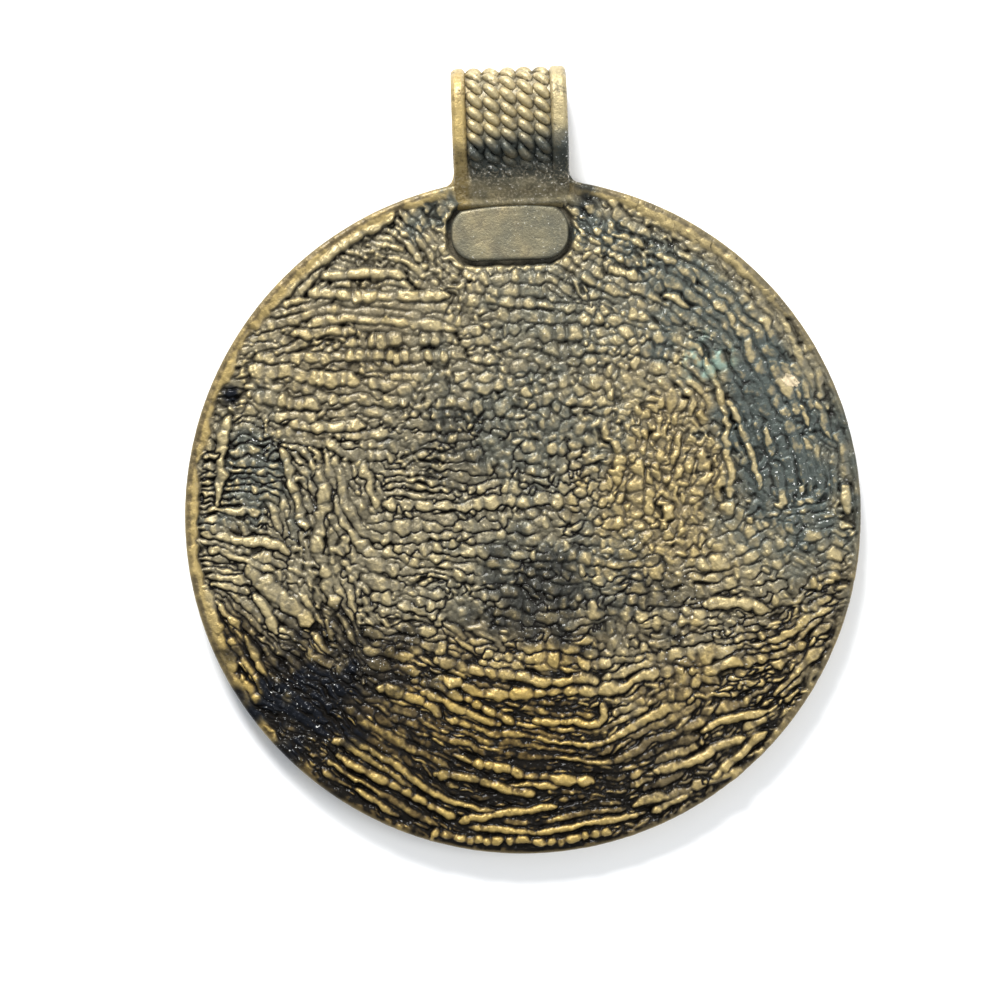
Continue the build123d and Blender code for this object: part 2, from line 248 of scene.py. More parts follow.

# Patches of colour on the back, places and reaches as shares of the disc's radius, turned
# by degrees. Tarnish is black, steel a grey veil, verdigris green, pale sandy, gold a warmer
# brass, filling the muck that levels the hollows, and glint a scatter of painted glints.
KINDS = ("tarnish", "steel", "verdigris", "pale", "gold", "filling", "glint")
Patch = namedtuple("Patch", "name x y reach_x reach_y turn kind strength")
PATCHES = [
    Patch("lower left black", -0.66, -0.52, 0.27, 0.18, -35, "tarnish", 1.0),
    Patch("lower left black fringe", -0.45, -0.42, 0.22, 0.12, -20, "tarnish", 0.8),
    Patch("low middle shade", 0.02, -0.26, 0.20, 0.16, 0, "tarnish", 0.7),
    Patch("right of bail shade", 0.22, 0.94, 0.07, 0.05, -20, "tarnish", 0.6),
    Patch("lower right shade", 0.34, -0.24, 0.16, 0.10, 10, "tarnish", 0.5),
    Patch("left spot", -0.87, 0.375, 0.05, 0.035, 0, "tarnish", 1.0),
    Patch("middle left shade", -0.22, 0.22, 0.12, 0.14, 0, "tarnish", 0.45),
    Patch("bottom shade", -0.30, -0.76, 0.20, 0.07, -25, "tarnish", 0.5),
    Patch("right veil", 0.82, 0.22, 0.26, 0.46, 0, "steel", 1.0),
    Patch("right filling", 0.80, 0.28, 0.24, 0.40, 0, "filling", 1.0),
    Patch("upper right veil", 0.58, 0.60, 0.34, 0.22, -35, "steel", 0.9),
    Patch("upper right filling", 0.58, 0.62, 0.30, 0.16, -35, "filling", 0.75),
    Patch("right of pad filling", 0.30, 0.86, 0.10, 0.06, -20, "filling", 0.5),
    Patch("lower left filling", -0.72, -0.56, 0.14, 0.10, -35, "filling", 0.5),
    Patch("centre veil", 0.00, 0.26, 0.32, 0.20, 0, "steel", 0.65),
    Patch("upper middle veil", 0.20, 0.60, 0.30, 0.18, 0, "steel", 0.55),
    Patch("left veil", -0.78, 0.14, 0.12, 0.16, 0, "steel", 0.8),
    Patch("left of pad veil", -0.24, 0.92, 0.12, 0.06, 25, "steel", 0.8),
    Patch("right of pad veil", 0.26, 0.88, 0.14, 0.10, -20, "steel", 0.9),
    Patch("low middle veil", 0.10, -0.20, 0.34, 0.18, 0, "steel", 0.6),
    Patch("right green", 0.565, 0.43, 0.08, 0.07, 0, "verdigris", 0.8),
    Patch("right pale spot", 0.80, 0.39, 0.026, 0.029, 0, "pale", 1.0),
    Patch("right middle gold", 0.40, 0.06, 0.22, 0.34, 0, "gold", 0.4),
    Patch("low gold", -0.10, -0.66, 0.42, 0.18, -12, "gold", 0.9),
    Patch("bottom right gold", 0.50, -0.62, 0.34, 0.22, 25, "gold", 0.6),
    Patch("upper left gold", -0.55, 0.50, 0.30, 0.22, 0, "gold", 0.2),
    Patch("lower right glint", 0.48, -0.32, 0.34, 0.22, -10, "glint", 0.9),
    Patch("right glint", 0.84, 0.00, 0.14, 0.12, 0, "glint", 1.0),
    Patch("left glint", -0.70, 0.10, 0.20, 0.30, 0, "glint", 0.5),
    Patch("pad glint", 0.26, 0.86, 0.12, 0.08, -20, "glint", 0.6),
]

# The back is worked out over a square raster with cells this wide, in millimetres
RASTER_CELL = 0.06

# How many numbers each row has for its knobs
KNOBS = 1000

# How often a small lump is tried in the hollows
CRUMBS = 26000

# A lump's half length in millimetres, its reach above and below the row as shares of the
# pitch, and the power that rounds its shoulders
LUMP_LENGTH = 0.30
LUMP_ABOVE = 0.90
LUMP_BELOW = 0.46
LUMP_SHOULDER = 1.4

# How fast the waves of a noise, and of a raster blurred over one step, fade out
NOISE_FADE = 3.2
BLUR_FADE = 19.7


def smooth_noise(count, cell, seed):
    """Even noise over a square raster, with features about `cell` steps across."""
    grid = np.random.default_rng(seed).standard_normal((count, count))
    waves = np.fft.fftfreq(count)
    squared = waves[:, None] ** 2 + waves[None, :] ** 2
    soft = np.fft.ifft2(np.fft.fft2(grid) * np.exp(-NOISE_FADE * cell * cell * squared)).real
    return soft / soft.std()


def blur(raster, steps):
    """The raster softened over the given number of steps."""
    waves = np.fft.fftfreq(raster.shape[0])
    squared = waves[:, None] ** 2 + waves[None, :] ** 2
    return np.fft.ifft2(np.fft.fft2(raster) * np.exp(-BLUR_FADE * steps * steps * squared)).real


def sample(raster, rows, columns):
    """The raster read between its steps, at fractional rows and columns."""
    last = raster.shape[0] - 1.001
    rows, columns = np.clip(rows, 0, last), np.clip(columns, 0, last)
    i, j = rows.astype(int), columns.astype(int)
    a, b = rows - i, columns - j
    near = raster[i, j] * (1 - b) + raster[i, j + 1] * b
    far = raster[i + 1, j] * (1 - b) + raster[i + 1, j + 1] * b
    return near * (1 - a) + far * a


def ease(value, low, high):
    """A smooth step from 0 at low to 1 at high."""
    share = np.clip((value - low) / (high - low), 0, 1)
    return share * share * (3 - 2 * share)


class Flow:
    """What the ridges do anywhere on the back: their way, pitch, knob length, swell and
    sway, how worn down they are, and how open the rows lie."""

    # Millimetres across a cell of its raster
    cell = 0.5

    def __init__(self, radius):
        self.radius = radius
        self.count = int(2 * radius / self.cell) + 1
        places = np.linspace(-radius, radius, self.count)
        x, y = np.meshgrid(places, places)
        bent_x, bent_y = x + self.noise(6, 11), y + self.noise(6, 12)
        sums = np.zeros((7, self.count, self.count))
        for area in AREAS:
            away = (bent_x - area.x * radius) ** 2 + (bent_y - area.y * radius) ** 2
            weight = 1 / (away + 0.5) ** 3
            along_rim = np.arctan2(y, x) + math.pi / 2
            way = along_rim if area.way is None else math.radians(area.way) + 0 * x
            terms = (np.cos(2 * way), np.sin(2 * way), area.pitch, area.knob, area.swell, area.sway, 1)
            for total, term in zip(sums, terms):
                total += weight * term
        pitch, knob, swell, self.sway = sums[2:6] / sums[6]
        way = 0.5 * np.arctan2(sums[1], sums[0])
        way += 0.14 * self.sway * self.noise(5, 13)
        pitch *= 1 + 0.18 * self.noise(7, 14)
        # Rows are worn down here and there, and lie open towards the bottom
        worn = 0.62 * ease(self.noise(5, 15) + self.sway, 1.1, 2.3)
        opened = ease(y + 2.5 * self.noise(8, 16), -4, -20) * (1 - 0.4 * ease(x, 2, 14))
        self.values = np.stack([way, pitch, knob, swell, worn, opened], axis=-1)

    def noise(self, cell, seed):
        """Even noise over the flow's own raster."""
        return smooth_noise(self.count, cell, seed)

    def at(self, x, y):
        """Way, pitch, knob length, swell, wear and openness at one place."""
        i = min(max(round((y + self.radius) / self.cell), 0), self.count - 1)
        j = min(max(round((x + self.radius) / self.cell), 0), self.count - 1)
        return self.values[i, j].tolist()

    def spread(self, values, count):
        """Values of the flow read over a finer square raster."""
        steps = np.linspace(0, self.count - 1, count)
        return sample(values, *np.meshgrid(steps, steps, indexing="ij"))


class Rows:
    """Evenly spaced rows of points that follow the flow over the whole back."""

    # Millimetres from point to point of a row, and across a cell of the raster of gaps
    step = 0.2
    cell = 0.12
    # How many cells round a point it marks
    near = 10
    # Most points that a row runs either way
    longest = 400
    # Shares of a pitch at which a row stops, starts beside another, and fills a hole
    closest = 0.52
    beside = 0.93
    leftover = 0.66
    # Where the first row starts, and the millimetres between tries at filling holes
    first = (0.0, 5.0)
    search = 0.5

    def __init__(self, flow, reach):
        self.flow, self.reach = flow, reach
        count = int(2 * flow.radius / self.cell) + 1
        self.gaps = np.full((count, count), np.inf)
        span = np.arange(-self.near, self.near + 1) * self.cell
        self.around = np.hypot(span[:, None], span[None, :])
        self.lines = []
        self.lay_bold()
        self.fill()

    def spot(self, x, y):
        """Row and column of a place."""
        radius = self.flow.radius
        return round((y + radius) / self.cell), round((x + radius) / self.cell)

    def free(self, x, y, share):
        """Whether a place is on the field and this share of a pitch from every row."""
        return x * x + y * y < self.reach ** 2 and self.gaps[self.spot(x, y)] > share

    def mark(self, x, y, width=None):
        """Notes how near a row, or a ridge of this width, comes to the places round here."""
        pitch = self.flow.at(x, y)[1]
        pitch = pitch if width is None else (pitch + width) / 2
        i, j = self.spot(x, y)
        count, near = len(self.gaps), self.near
        i0, i1 = max(i - near, 0), min(i + near + 1, count)
        j0, j1 = max(j - near, 0), min(j + near + 1, count)
        part = self.around[i0 - i + near:i1 - i + near, j0 - j + near:j1 - j + near]
        window = self.gaps[i0:i1, j0:j1]
        np.minimum(window, part / pitch, out=window)

    def lay_bold(self):
        """Lays the ridges that stand out, as soft lines through their places."""
        scale = self.flow.radius / DRAWN_RADIUS
        soften = np.full(9, 1 / 9)
        for bold in BOLD:
            corners = np.array(bold.run) * scale
            travel = np.append(0, np.cumsum(np.hypot(*np.diff(corners, axis=0).T)))
            steps = np.arange(0, travel[-1], self.step)
            x, y = (np.interp(steps, travel, places) for places in corners.T)
            x, y = (np.convolve(np.pad(places, 4, "edge"), soften, "valid") for places in (x, y))
            line = list(zip(x.tolist(), y.tolist()))
            self.lines.append((line, bold))
            for place in line:
                self.mark(*place, bold.width)

    def walk(self, x, y, heading):
        """Points of a row from here on, until it meets another row or the rim."""
        points = []
        for _ in range(self.longest):
            way = self.flow.at(x, y)[0]
            dx, dy = math.cos(way), math.sin(way)
            if dx * heading[0] + dy * heading[1] < 0:
                dx, dy = -dx, -dy
            x, y, heading = x + dx * self.step, y + dy * self.step, (dx, dy)
            if not self.free(x, y, self.closest):
                break
            points.append((x, y))
        return points

    def fill(self):
        """Lays rows beside rows from the middle out, then fills what is left."""
        seeds = [self.first]
        for seed in seeds:
            self.start(*seed, self.beside, seeds)
        for radius in np.arange(1, self.reach, self.search):
            for turn in np.arange(0, 2 * math.pi, self.search / radius):
                self.start(radius * math.cos(turn), radius * math.sin(turn), self.leftover, seeds)

    def start(self, x, y, share, seeds):
        """Starts a row here if there is room, and notes the places beside it."""
        if not self.free(x, y, share):
            return
        way = self.flow.at(x, y)[0]
        dx, dy = math.cos(way), math.sin(way)
        line = self.walk(x, y, (-dx, -dy))[::-1] + [(x, y)] + self.walk(x, y, (dx, dy))
        if len(line) < 3:
            return
        self.lines.append((line, None))
        for px, py in line:
            self.mark(px, py)
        for px, py in line[::3]:
            way, pitch = self.flow.at(px, py)[:2]
            across = -math.sin(way) * pitch, math.cos(way) * pitch
            seeds.append((px + across[0], py + across[1]))
            seeds.append((px - across[0], py - across[1]))


Lump = namedtuple("Lump", "number x y way half_length upper lower height edge")


def raise_lump(raster, owner, radius, lump):
    """Raises a rounded lump on the raster, steeper on its lower side, and marks its place
    with its number."""
    reach = max(lump.half_length, lump.upper, lump.lower)
    last = len(raster)
    i0 = max(int((lump.y - reach + radius) / RASTER_CELL), 0)
    i1 = min(int((lump.y + reach + radius) / RASTER_CELL) + 2, last)
    j0 = max(int((lump.x - reach + radius) / RASTER_CELL), 0)
    j1 = min(int((lump.x + reach + radius) / RASTER_CELL) + 2, last)
    if i0 >= i1 or j0 >= j1:
        return
    y = (np.arange(i0, i1) * RASTER_CELL - radius - lump.y)[:, None]
    x = (np.arange(j0, j1) * RASTER_CELL - radius - lump.x)[None, :]
    cosine, sine = math.cos(lump.way), math.sin(lump.way)
    along = x * cosine + y * sine
    across = y * cosine - x * sine
    width = np.where(across > 0, lump.upper, lump.lower)
    far = (along / lump.half_length) ** 2 + (across / width) ** 2
    rise = lump.height * np.clip(1 - far ** LUMP_SHOULDER, 0, None) ** lump.edge
    higher = rise > raster[i0:i1, j0:j1]
    raster[i0:i1, j0:j1][higher] = rise[higher]
    owner[i0:i1, j0:j1][higher] = lump.number


def row_lumps(line, bold, flow, chance, number):
    """The lumps of one row, which swell and sink from knob to knob. Each laps over the
    row below, so it is wide on its upper side and steep on its lower side."""
    if line[-1][0] < line[0][0]:
        line = line[::-1]
    opened = flow.at(*line[len(line) // 2])[5]
    base = 1.15 if bold else 1.06 - chance.uniform(0, 0.3 + 0.08 * opened)
    travel, start, end, lift, shift = 0.0, 0.0, chance.uniform(0.3, 1.2), 1.0, 0.0
    own = KNOBS * next(number)
    for index, (x, y) in enumerate(line):
        _, pitch, knob, swell, worn, opened = flow.at(x, y)
        if bold:
            pitch, knob, swell, worn = bold.width, bold.knob, bold.swell, 0.0
        before, after = line[max(index - 1, 0)], line[min(index + 1, len(line) - 1)]
        way = math.atan2(after[1] - before[1], after[0] - before[0])
        if math.cos(way) < 0:
            way += math.pi
        taper = min(1.0, 0.5 + 0.6 * Rows.step * min(index, len(line) - 1 - index))
        share = 2 * (travel - start) / (end - start) - 1
        bulge = max(1 - share * share, 0.0) ** 0.8
        dip = swell * (1 - bulge)
        upper = LUMP_ABOVE * pitch * taper * (1 - 0.22 * opened)
        lower = LUMP_BELOW * pitch * taper * (1 - 0.6 * dip) * (0.7 + 0.3 * lift)
        height = base * (1 - 0.4 * dip) * lift * (0.6 + 0.4 * taper) * (1 - worn)
        aside = shift * bulge
        side_x, side_y = aside * math.sin(way), aside * math.cos(way)
        edge = 0.42 + 0.26 * opened
        yield Lump(own, x - side_x, y + side_y, way, LUMP_LENGTH, upper, lower, height, edge)
        # A wart on the middle of some knobs
        if abs(share) * (end - start) < Rows.step and chance.uniform() < 0.1 + 0.6 * swell:
            x, y = x - side_x + chance.normal(0, 0.08), y + side_y + chance.normal(0, 0.12)
            size = chance.uniform(0.22, 0.36)
            crest = height + chance.uniform(0.08, 0.22)
            yield Lump(own, x, y, way, size, size * 1.2, size * 0.9, crest, 0.8)
        travel += Rows.step
        if travel > end:
            start, end = travel, travel + max(0.5, knob * chance.uniform(0.5, 1.5))
            lift = chance.uniform(1 - 0.4 * swell, 1 + 0.2 * swell)
            shift = pitch * swell * chance.normal(0, 0.16)
            own += 1


def crumb(raster, flow, chance, number):
    """A small lump in a hollow between the rows, or none where there is no hollow."""
    x, y = chance.uniform(-flow.radius, flow.radius, 2)
    here = raster[int((y + flow.radius) / RASTER_CELL), int((x + flow.radius) / RASTER_CELL)]
    if here > 0.5 or math.hypot(x, y) > flow.radius:
        return None
    way, pitch, _, _, _, opened = flow.at(x, y)
    size = pitch * chance.uniform(0.32, 0.55) * (1 - 0.3 * opened)
    height = min(here + chance.uniform(0.15, 0.45), 0.85)
    turn = way + chance.uniform(-1, 1) * (0.8 - 0.65 * opened)
    long = size * chance.uniform(1 + opened, 1.8 + 4 * opened)
    edge = 0.5 + 0.2 * opened
    own = KNOBS * next(number) if opened > 0.4 else 1 + next(number) % (KNOBS - 1)
    return Lump(own, x, y, turn, long, size, size * 0.7, height, edge)


def seams(owner):
    """Narrow lines, 0 to 1, where the place of one lump borders on another's, fainter
    between the knobs of one row."""
    lines = []
    for marks in (owner, owner // KNOBS):
        border = (marks != np.roll(marks, 1, 0)) | (marks != np.roll(marks, 1, 1))
        lines.append(np.clip(2.5 * blur(border.astype(float), 0.9), 0, 1))
    between_knobs, between_rows = lines
    return np.maximum(0.15 * between_knobs, between_rows)


def cast_ridges(s):
    """Over a square raster: heights of the cast ridges alone, seams between the lumps, how
    open the rows lie, and a tone from -1 to 1 for each row."""
    flow = Flow(s.disc_radius)
    rows = Rows(flow, s.disc_radius - s.rim_width * 0.8)
    count = int(2 * s.disc_radius / RASTER_CELL) + 1
    ridges, owner = np.zeros((count, count)), np.zeros((count, count), int)
    chance = np.random.default_rng(3)
    number = numbers(1)
    for line, bold in rows.lines:
        for lump in row_lumps(line, bold, flow, chance, number):
            raise_lump(ridges, owner, s.disc_radius, lump)
    for _ in range(CRUMBS):
        lump = crumb(ridges, flow, chance, number)
        if lump:
            raise_lump(ridges, owner, s.disc_radius, lump)

    # The rows are crumpled by moving the places that the raster is read at
    sway = flow.spread(flow.sway, count) / RASTER_CELL
    fine = [0.09 * smooth_noise(count, 9, seed) for seed in (21, 22)]
    broad = [0.16 * smooth_noise(count, 24, seed) for seed in (23, 24)]
    rows_at, columns_at = np.mgrid[0:count, 0:count].astype(float)
    rows_at += sway * (fine[0] + broad[0])
    columns_at += sway * (fine[1] + broad[1])
    ridges = blur(sample(ridges, rows_at, columns_at), 0.7).clip(0, 1.2)

    last = count - 1
    nearest = rows_at.round().clip(0, last).astype(int), columns_at.round().clip(0, last).astype(int)
    seam = seams(owner[nearest]) * (0.45 + 0.55 * ease(smooth_noise(count, 20, 33), -1.2, 0.3))
    skin = 0.026 * smooth_noise(count, 6, 31) + 0.006 * smooth_noise(count, 2.5, 32)
    height = s.ridge_depth * (ridges ** 1.2 - 0.20 * seam) + skin
    opened = flow.spread(flow.values[..., 5], count)
    tones = np.random.default_rng(5).uniform(-1, 1, next(number))
    tone = blur(tones[owner[nearest] // KNOBS], 1.5)
    return height, seam, opened, tone


def pad_distance(s, x, y):
    """How far a place lies outside the pad's outline, negative inside it."""
    middle_y = s.disc_radius - s.pad_gap - s.pad_height / 2
    qx = np.abs(x + s.pad_shift) - s.pad_length / 2 + s.pad_corner
    qy = np.abs(y - middle_y) - s.pad_height / 2 + s.pad_corner
    outside = np.hypot(np.maximum(qx, 0), np.maximum(qy, 0))
    rounded = outside + np.minimum(np.maximum(qx, qy), 0) - s.pad_corner
    return np.maximum(rounded, np.hypot(x, y) - (s.disc_radius - s.pad_gap))


def rim_form(s, radius, turn, floor):
    """The raised rim: where its inner side runs, its heights, dents and cracks, and how low
    it lies. It is wider on the left, thin at the bottom and cracked at the upper right."""
    count = len(radius)
    sway = 0.12 * smooth_noise(count, 30, 41) + 0.07 * smooth_noise(count, 9, 42)
    upper_right = np.exp(-((turn - 0.95) / 0.38) ** 2)
    share = 0.72 - 0.25 * np.cos(turn) + 0.08 * np.sin(turn) + 0.6 * upper_right
    inner = s.disc_radius - s.rim_width * share + sway
    low = ease(-np.sin(turn), 0.2, 0.9)
    bulge = np.sqrt(1 - np.clip(1 - (radius - inner) / 0.7, 0, 1) ** 2)
    rim = floor + s.ridge_depth * (1 - 0.55 * low) * bulge
    dents = smooth_noise(count, 9, 43)
    cracks = ease(np.abs(smooth_noise(count, 13, 46)), 0.20, 0.0) * upper_right
    rim += 0.035 * dents + 0.008 * smooth_noise(count, 3, 44) - 0.06 * cracks
    return inner, rim, dents, cracks, low


def cast_back(s):
    """Heights of the back over a square raster, with its shades by name."""
    ridges, seam, opened, tone = cast_ridges(s)
    count = len(ridges)
    places = np.linspace(-s.disc_radius, s.disc_radius, count)
    x, y = np.meshgrid(places, places)
    radius, turn = np.hypot(x, y), np.arctan2(y, x)
    floor = s.rim_level - s.ridge_depth
    shaded = colour_patches(x / s.disc_radius, y / s.disc_radius)
    fill = shaded["filling"] * ease(smooth_noise(count, 30, 35), -1.8, 0.2)
    height = floor + 0.3 * s.ridge_depth * fill + ridges * (1 - 0.35 * fill)
    inner, rim, dents, cracks, low = rim_form(s, radius, turn, floor)
    beneath = np.minimum(height, s.rim_level + 0.25 * low)
    height = np.where(radius > inner, np.maximum(beneath, rim), height)

    # Smooth foot of the bail, and the groove round the pad
    aside = np.abs(x) + 0.3 * smooth_noise(count, 16, 45)
    beside = ease(aside, s.bail_width / 2 + 2.2, s.bail_width / 2 + 0.2)
    pad_top = s.disc_radius - s.pad_gap
    foot = beside * ease(radius, pad_top + 0.2, pad_top + 0.7) * (y > 0)
    height = height * (1 - foot) + (s.rim_level - 0.03 + 0.03 * dents) * foot
    gap = pad_distance(s, x, y) + 0.05 * smooth_noise(count, 8, 51)
    wall = ease(gap, s.pad_groove * 0.6, s.pad_groove * 1.5)
    height = height * wall + (floor - 0.12) * (1 - wall)

    # Hollows, with dirt and painted shade: darker the further a place lies below those round it, and in the
    # open rows
    sunk = blur(height, 7) - height
    lifted = (height - floor) / s.ridge_depth
    rubbed = ease(x, 3, 9) * ease(y, -9, -3)
    hollow = 0.5 + 2.4 * sunk + opened * (0.11 + 0.9 * (0.64 - lifted))
    hollow += tone * (0.07 + 0.12 * opened) + 0.8 * fill * (0.72 - lifted)
    # Darker towards the bottom as painted shade, and lighter where the back is rubbed
    hollow += 0.22 * ease(y, -17, -26) - 0.09 * rubbed * (1 - fill)
    on_rim = ease(radius, inner - 0.2, inner + 0.4)
    kept = on_rim * (1 - 0.8 * low)
    outer = ease(radius, s.disc_radius - s.edge_round - 0.3, s.disc_radius - s.edge_round)
    hollow = hollow * (1 - kept) + (0.26 - 0.05 * dents + 0.3 * outer + 1.5 * sunk) * kept
    hollow = hollow * (1 - foot) + (0.40 - 0.06 * dents) * foot
    shaded["hollow"] = np.clip(hollow, 0, 0.78 + 0.22 * opened)

    # Dark creases between the lumps, dirt and painted shade, fainter where the back is rubbed and in the
    # upper part, and the rim's cracks
    soft = np.maximum(rubbed, 0.8 * ease(y, 5, 12))
    plain = np.maximum(ease(radius, inner - 0.15, inner + 0.1), 1 - wall * (1 - foot))
    crease = seam * (1 - plain) * (1 - 0.6 * fill) * (1 - 0.45 * soft)
    sharp = 9.0 * (blur(height, 2.2) - height) * (1 - 0.4 * soft)
    crease = np.maximum(np.maximum(crease, 0.75 * cracks * on_rim), np.clip(sharp, 0, 1))
    shaded["crease"] = np.clip(crease, 0, 0.9 + 0.1 * opened)

    # Gold on the bare rim and the open rows, and little grey by the rim at the upper right
    bare = on_rim * (0.34 - 0.26 * np.cos(turn + 0.4))
    shaded["gold"] = np.maximum(np.maximum(shaded["gold"], bare), 0.85 * opened)
    clear = ease(radius, s.disc_radius - 2.8, s.disc_radius - 1.8) * ease(y, 6, 14) * ease(x, 6, 9)
    for kind in ("steel", "filling"):
        shaded[kind] = shaded[kind] * (1 - 0.85 * clear)
    return height, shaded


def colour_patches(share_x, share_y):
    """Strength of each kind of patch, at places given as shares of the disc's radius."""
    count = len(share_x)
    bend = [0.05 * smooth_noise(count, 22, seed) for seed in (61, 62)]
    shaded = {}
    for kind in KINDS:
        total = np.zeros_like(share_x)
        for patch in (p for p in PATCHES if p.kind == kind):
            way = math.radians(patch.turn)
            loose = min(1, 6 * patch.reach_x)
            dx, dy = share_x + loose * bend[0] - patch.x, share_y + loose * bend[1] - patch.y
            u = (dx * math.cos(way) + dy * math.sin(way)) / patch.reach_x
            v = (dy * math.cos(way) - dx * math.sin(way)) / patch.reach_y
            total = np.maximum(total, patch.strength * ease(np.hypot(u, v), 1.35, 0.45))
        shaded[kind] = total
    return shaded


# Meshes

# How many times the bounds of a reach are halved to find it
HALVINGS = 40


def make_object(name, points, faces):
    """A smoothly shaded mesh object from points in millimetres and faces."""
    mesh = bpy.data.meshes.new(name)
    mesh.from_pydata([tuple(p) for p in np.asarray(points) * MM], [], faces)
    mesh.polygons.foreach_set("use_smooth", [True] * len(mesh.polygons))
    mesh.update()
    made = bpy.data.objects.new(name, mesh)
    bpy.context.collection.objects.link(made)
    return made


def hand_over(piece, material):
    """Gives a finished piece its material and hangs it on the pendant's body."""
    piece.data.materials.clear()
    piece.data.materials.append(material)
    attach(piece, "root")
    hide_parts(NODE)


def paint(mesh, **shades):
    """Writes the shades of a mesh's points, leaving the unnamed kinds at nothing."""
    for kind in ("hollow", "crease", *KINDS):
        layer = mesh.attributes.new(kind, "FLOAT", "POINT")
        values = np.zeros(len(mesh.vertices), np.float32) + shades.get(kind, 0.0)
        layer.data.foreach_set("value", values.astype(np.float32))


def points_of(mesh):
    """Places of a mesh's points in millimetres."""
    places = np.zeros(3 * len(mesh.vertices))
    mesh.vertices.foreach_get("co", places)
    return places.reshape(-1, 3) / MM


def ring_faces(rings, around):
    """Quads between rings of points laid one after another."""
    number = np.arange(rings * around).reshape(rings, around)
    after = np.roll(number, -1, axis=1)
    return np.stack([number[:-1], after[:-1], after[1:], number[1:]], axis=-1).reshape(-1, 4)


def disc_grid(s, height):
    """Places of a square grid wrapped over the disc: back, outer edge and front border.
    Also where each lies on the raster of heights, and how far round the edge it lies."""
    steps, bend_rings, edge_rings = s.fineness, 4, 10
    index = np.arange(-steps, steps + 1)
    a, b = np.meshgrid(index, index)
    ring = np.maximum(np.abs(a), np.abs(b))
    safe = np.maximum(ring, 1)
    turn = np.where(
        np.abs(a) >= np.abs(b),
        np.where(a >= 0, 0, math.pi) + math.pi / 4 * b / safe * np.where(a >= 0, 1, -1),
        np.where(b >= 0, 0.5, 1.5) * math.pi - math.pi / 4 * a / safe * np.where(b >= 0, 1, -1),
    )
    flat = s.disc_radius - s.edge_round
    radius = flat * np.minimum(ring / (steps - edge_rings), 1)
    x, y = radius * np.cos(turn), radius * np.sin(turn)
    middle = (len(height) - 1) / 2
    rows, columns = middle + y / RASTER_CELL, middle + x / RASTER_CELL
    z = sample(height, rows, columns)
    beyond = np.maximum(ring - (steps - edge_rings), 0)
    for number in range(1, edge_rings + 1):
        here = beyond == number
        if number <= bend_rings:
            bend = math.pi / 2 * number / bend_rings
            out, level = math.sin(bend), z[here] - s.edge_round * (1 - math.cos(bend))
        elif number < edge_rings:
            bend = math.pi / 2 * (number - bend_rings - 1) / bend_rings
            out, level = math.cos(bend), s.edge_round * (1 - math.sin(bend))
        else:
            out, level = -1.0, 0.0
        reach = flat + s.edge_round * out
        x[here], y[here] = reach * np.cos(turn[here]), reach * np.sin(turn[here])
        z[here] = level
    return np.stack([x, y, z], axis=-1), rows, columns, np.minimum(beyond / 3, 1)


def grid_normals(places):
    """Outward normals of a wrapped grid, from its neighbours on all sides."""
    across = np.gradient(places, axis=1)
    along = np.gradient(places, axis=0)
    normals = np.cross(across, along)
    return normals / np.maximum(np.linalg.norm(normals, axis=-1, keepdims=True), 1e-12)


def disc_quarter(places, normals, shades, rows, columns, name):
    """One closed quarter of the disc, cut along its middle lines, with shared normals."""
    part, turned = places[rows, columns], normals[rows, columns]
    high, wide = part.shape[:2]
    number = np.arange(high * wide).reshape(high, wide)
    quads = np.stack([number[:-1, :-1], number[:-1, 1:], number[1:, 1:], number[1:, :-1]], axis=-1)
    quads = quads.reshape(-1, 4)
    foot = high * wide
    sides = [number[:, 0], number[-1, :], number[::-1, -1], number[0, ::-1]]
    ways = [(-1.0, 0.0, 0.0), (0.0, 1.0, 0.0), (1.0, 0.0, 0.0), (0.0, -1.0, 0.0)]
    cut = [1 if rows.start is None else 3, 2 if columns.start is None else 0]
    first, then = next((a, (a + 1) % 4) for a in range(4) if not {a, (a + 1) % 4} & set(cut))
    front = np.concatenate([sides[first], sides[then][1:]])
    closing = [(front, (0.0, 0.0, -1.0))] + [(sides[side], ways[side]) for side in cut]
    closing = [(np.append(loop, foot), way) for loop, way in closing]

    points = np.concatenate([part.reshape(-1, 3), [(0.0, 0.0, 0.0)]])
    mesh = bpy.data.meshes.new(name)
    mesh.vertices.add(len(points))
    mesh.vertices.foreach_set("co", (points * MM).ravel())
    loops = np.concatenate([quads.ravel(), *(loop for loop, _ in closing)])
    mesh.loops.add(len(loops))
    mesh.loops.foreach_set("vertex_index", loops)
    corners = np.concatenate([np.full(len(quads), 4), [len(loop) for loop, _ in closing]])
    mesh.polygons.add(len(corners))
    mesh.polygons.foreach_set("loop_start", np.concatenate([[0], np.cumsum(corners)[:-1]]))
    mesh.polygons.foreach_set("use_smooth", np.arange(len(corners)) < len(quads))
    mesh.update(calc_edges=True)
    mesh.validate()
    flat = [np.tile(way, (len(loop), 1)) for loop, way in closing]
    mesh.normals_split_custom_set(np.concatenate([turned.reshape(-1, 3)[quads.ravel()], *flat]).tolist())
    paint(mesh, **{kind: np.append(values[rows, columns].ravel(), 0.5) for kind, values in shades.items()})
    made = bpy.data.objects.new(name, mesh)
    bpy.context.collection.objects.link(made)
    return made


# Pad, bail and wires


def pad_border(s, turns, inset):
    """Border of the pad, moved inwards, in the given directions from its middle."""
    middle_y = s.disc_radius - s.pad_gap - s.pad_height / 2
    near, far = np.zeros_like(turns), np.full_like(turns, s.pad_length)
    for _ in range(HALVINGS):
        reach = (near + far) / 2
        x, y = reach * np.cos(turns) - s.pad_shift, reach * np.sin(turns) + middle_y
        inside = pad_distance(s, x, y) < -inset
        near, far = np.where(inside, reach, near), np.where(inside, far, reach)
    return near, middle_y


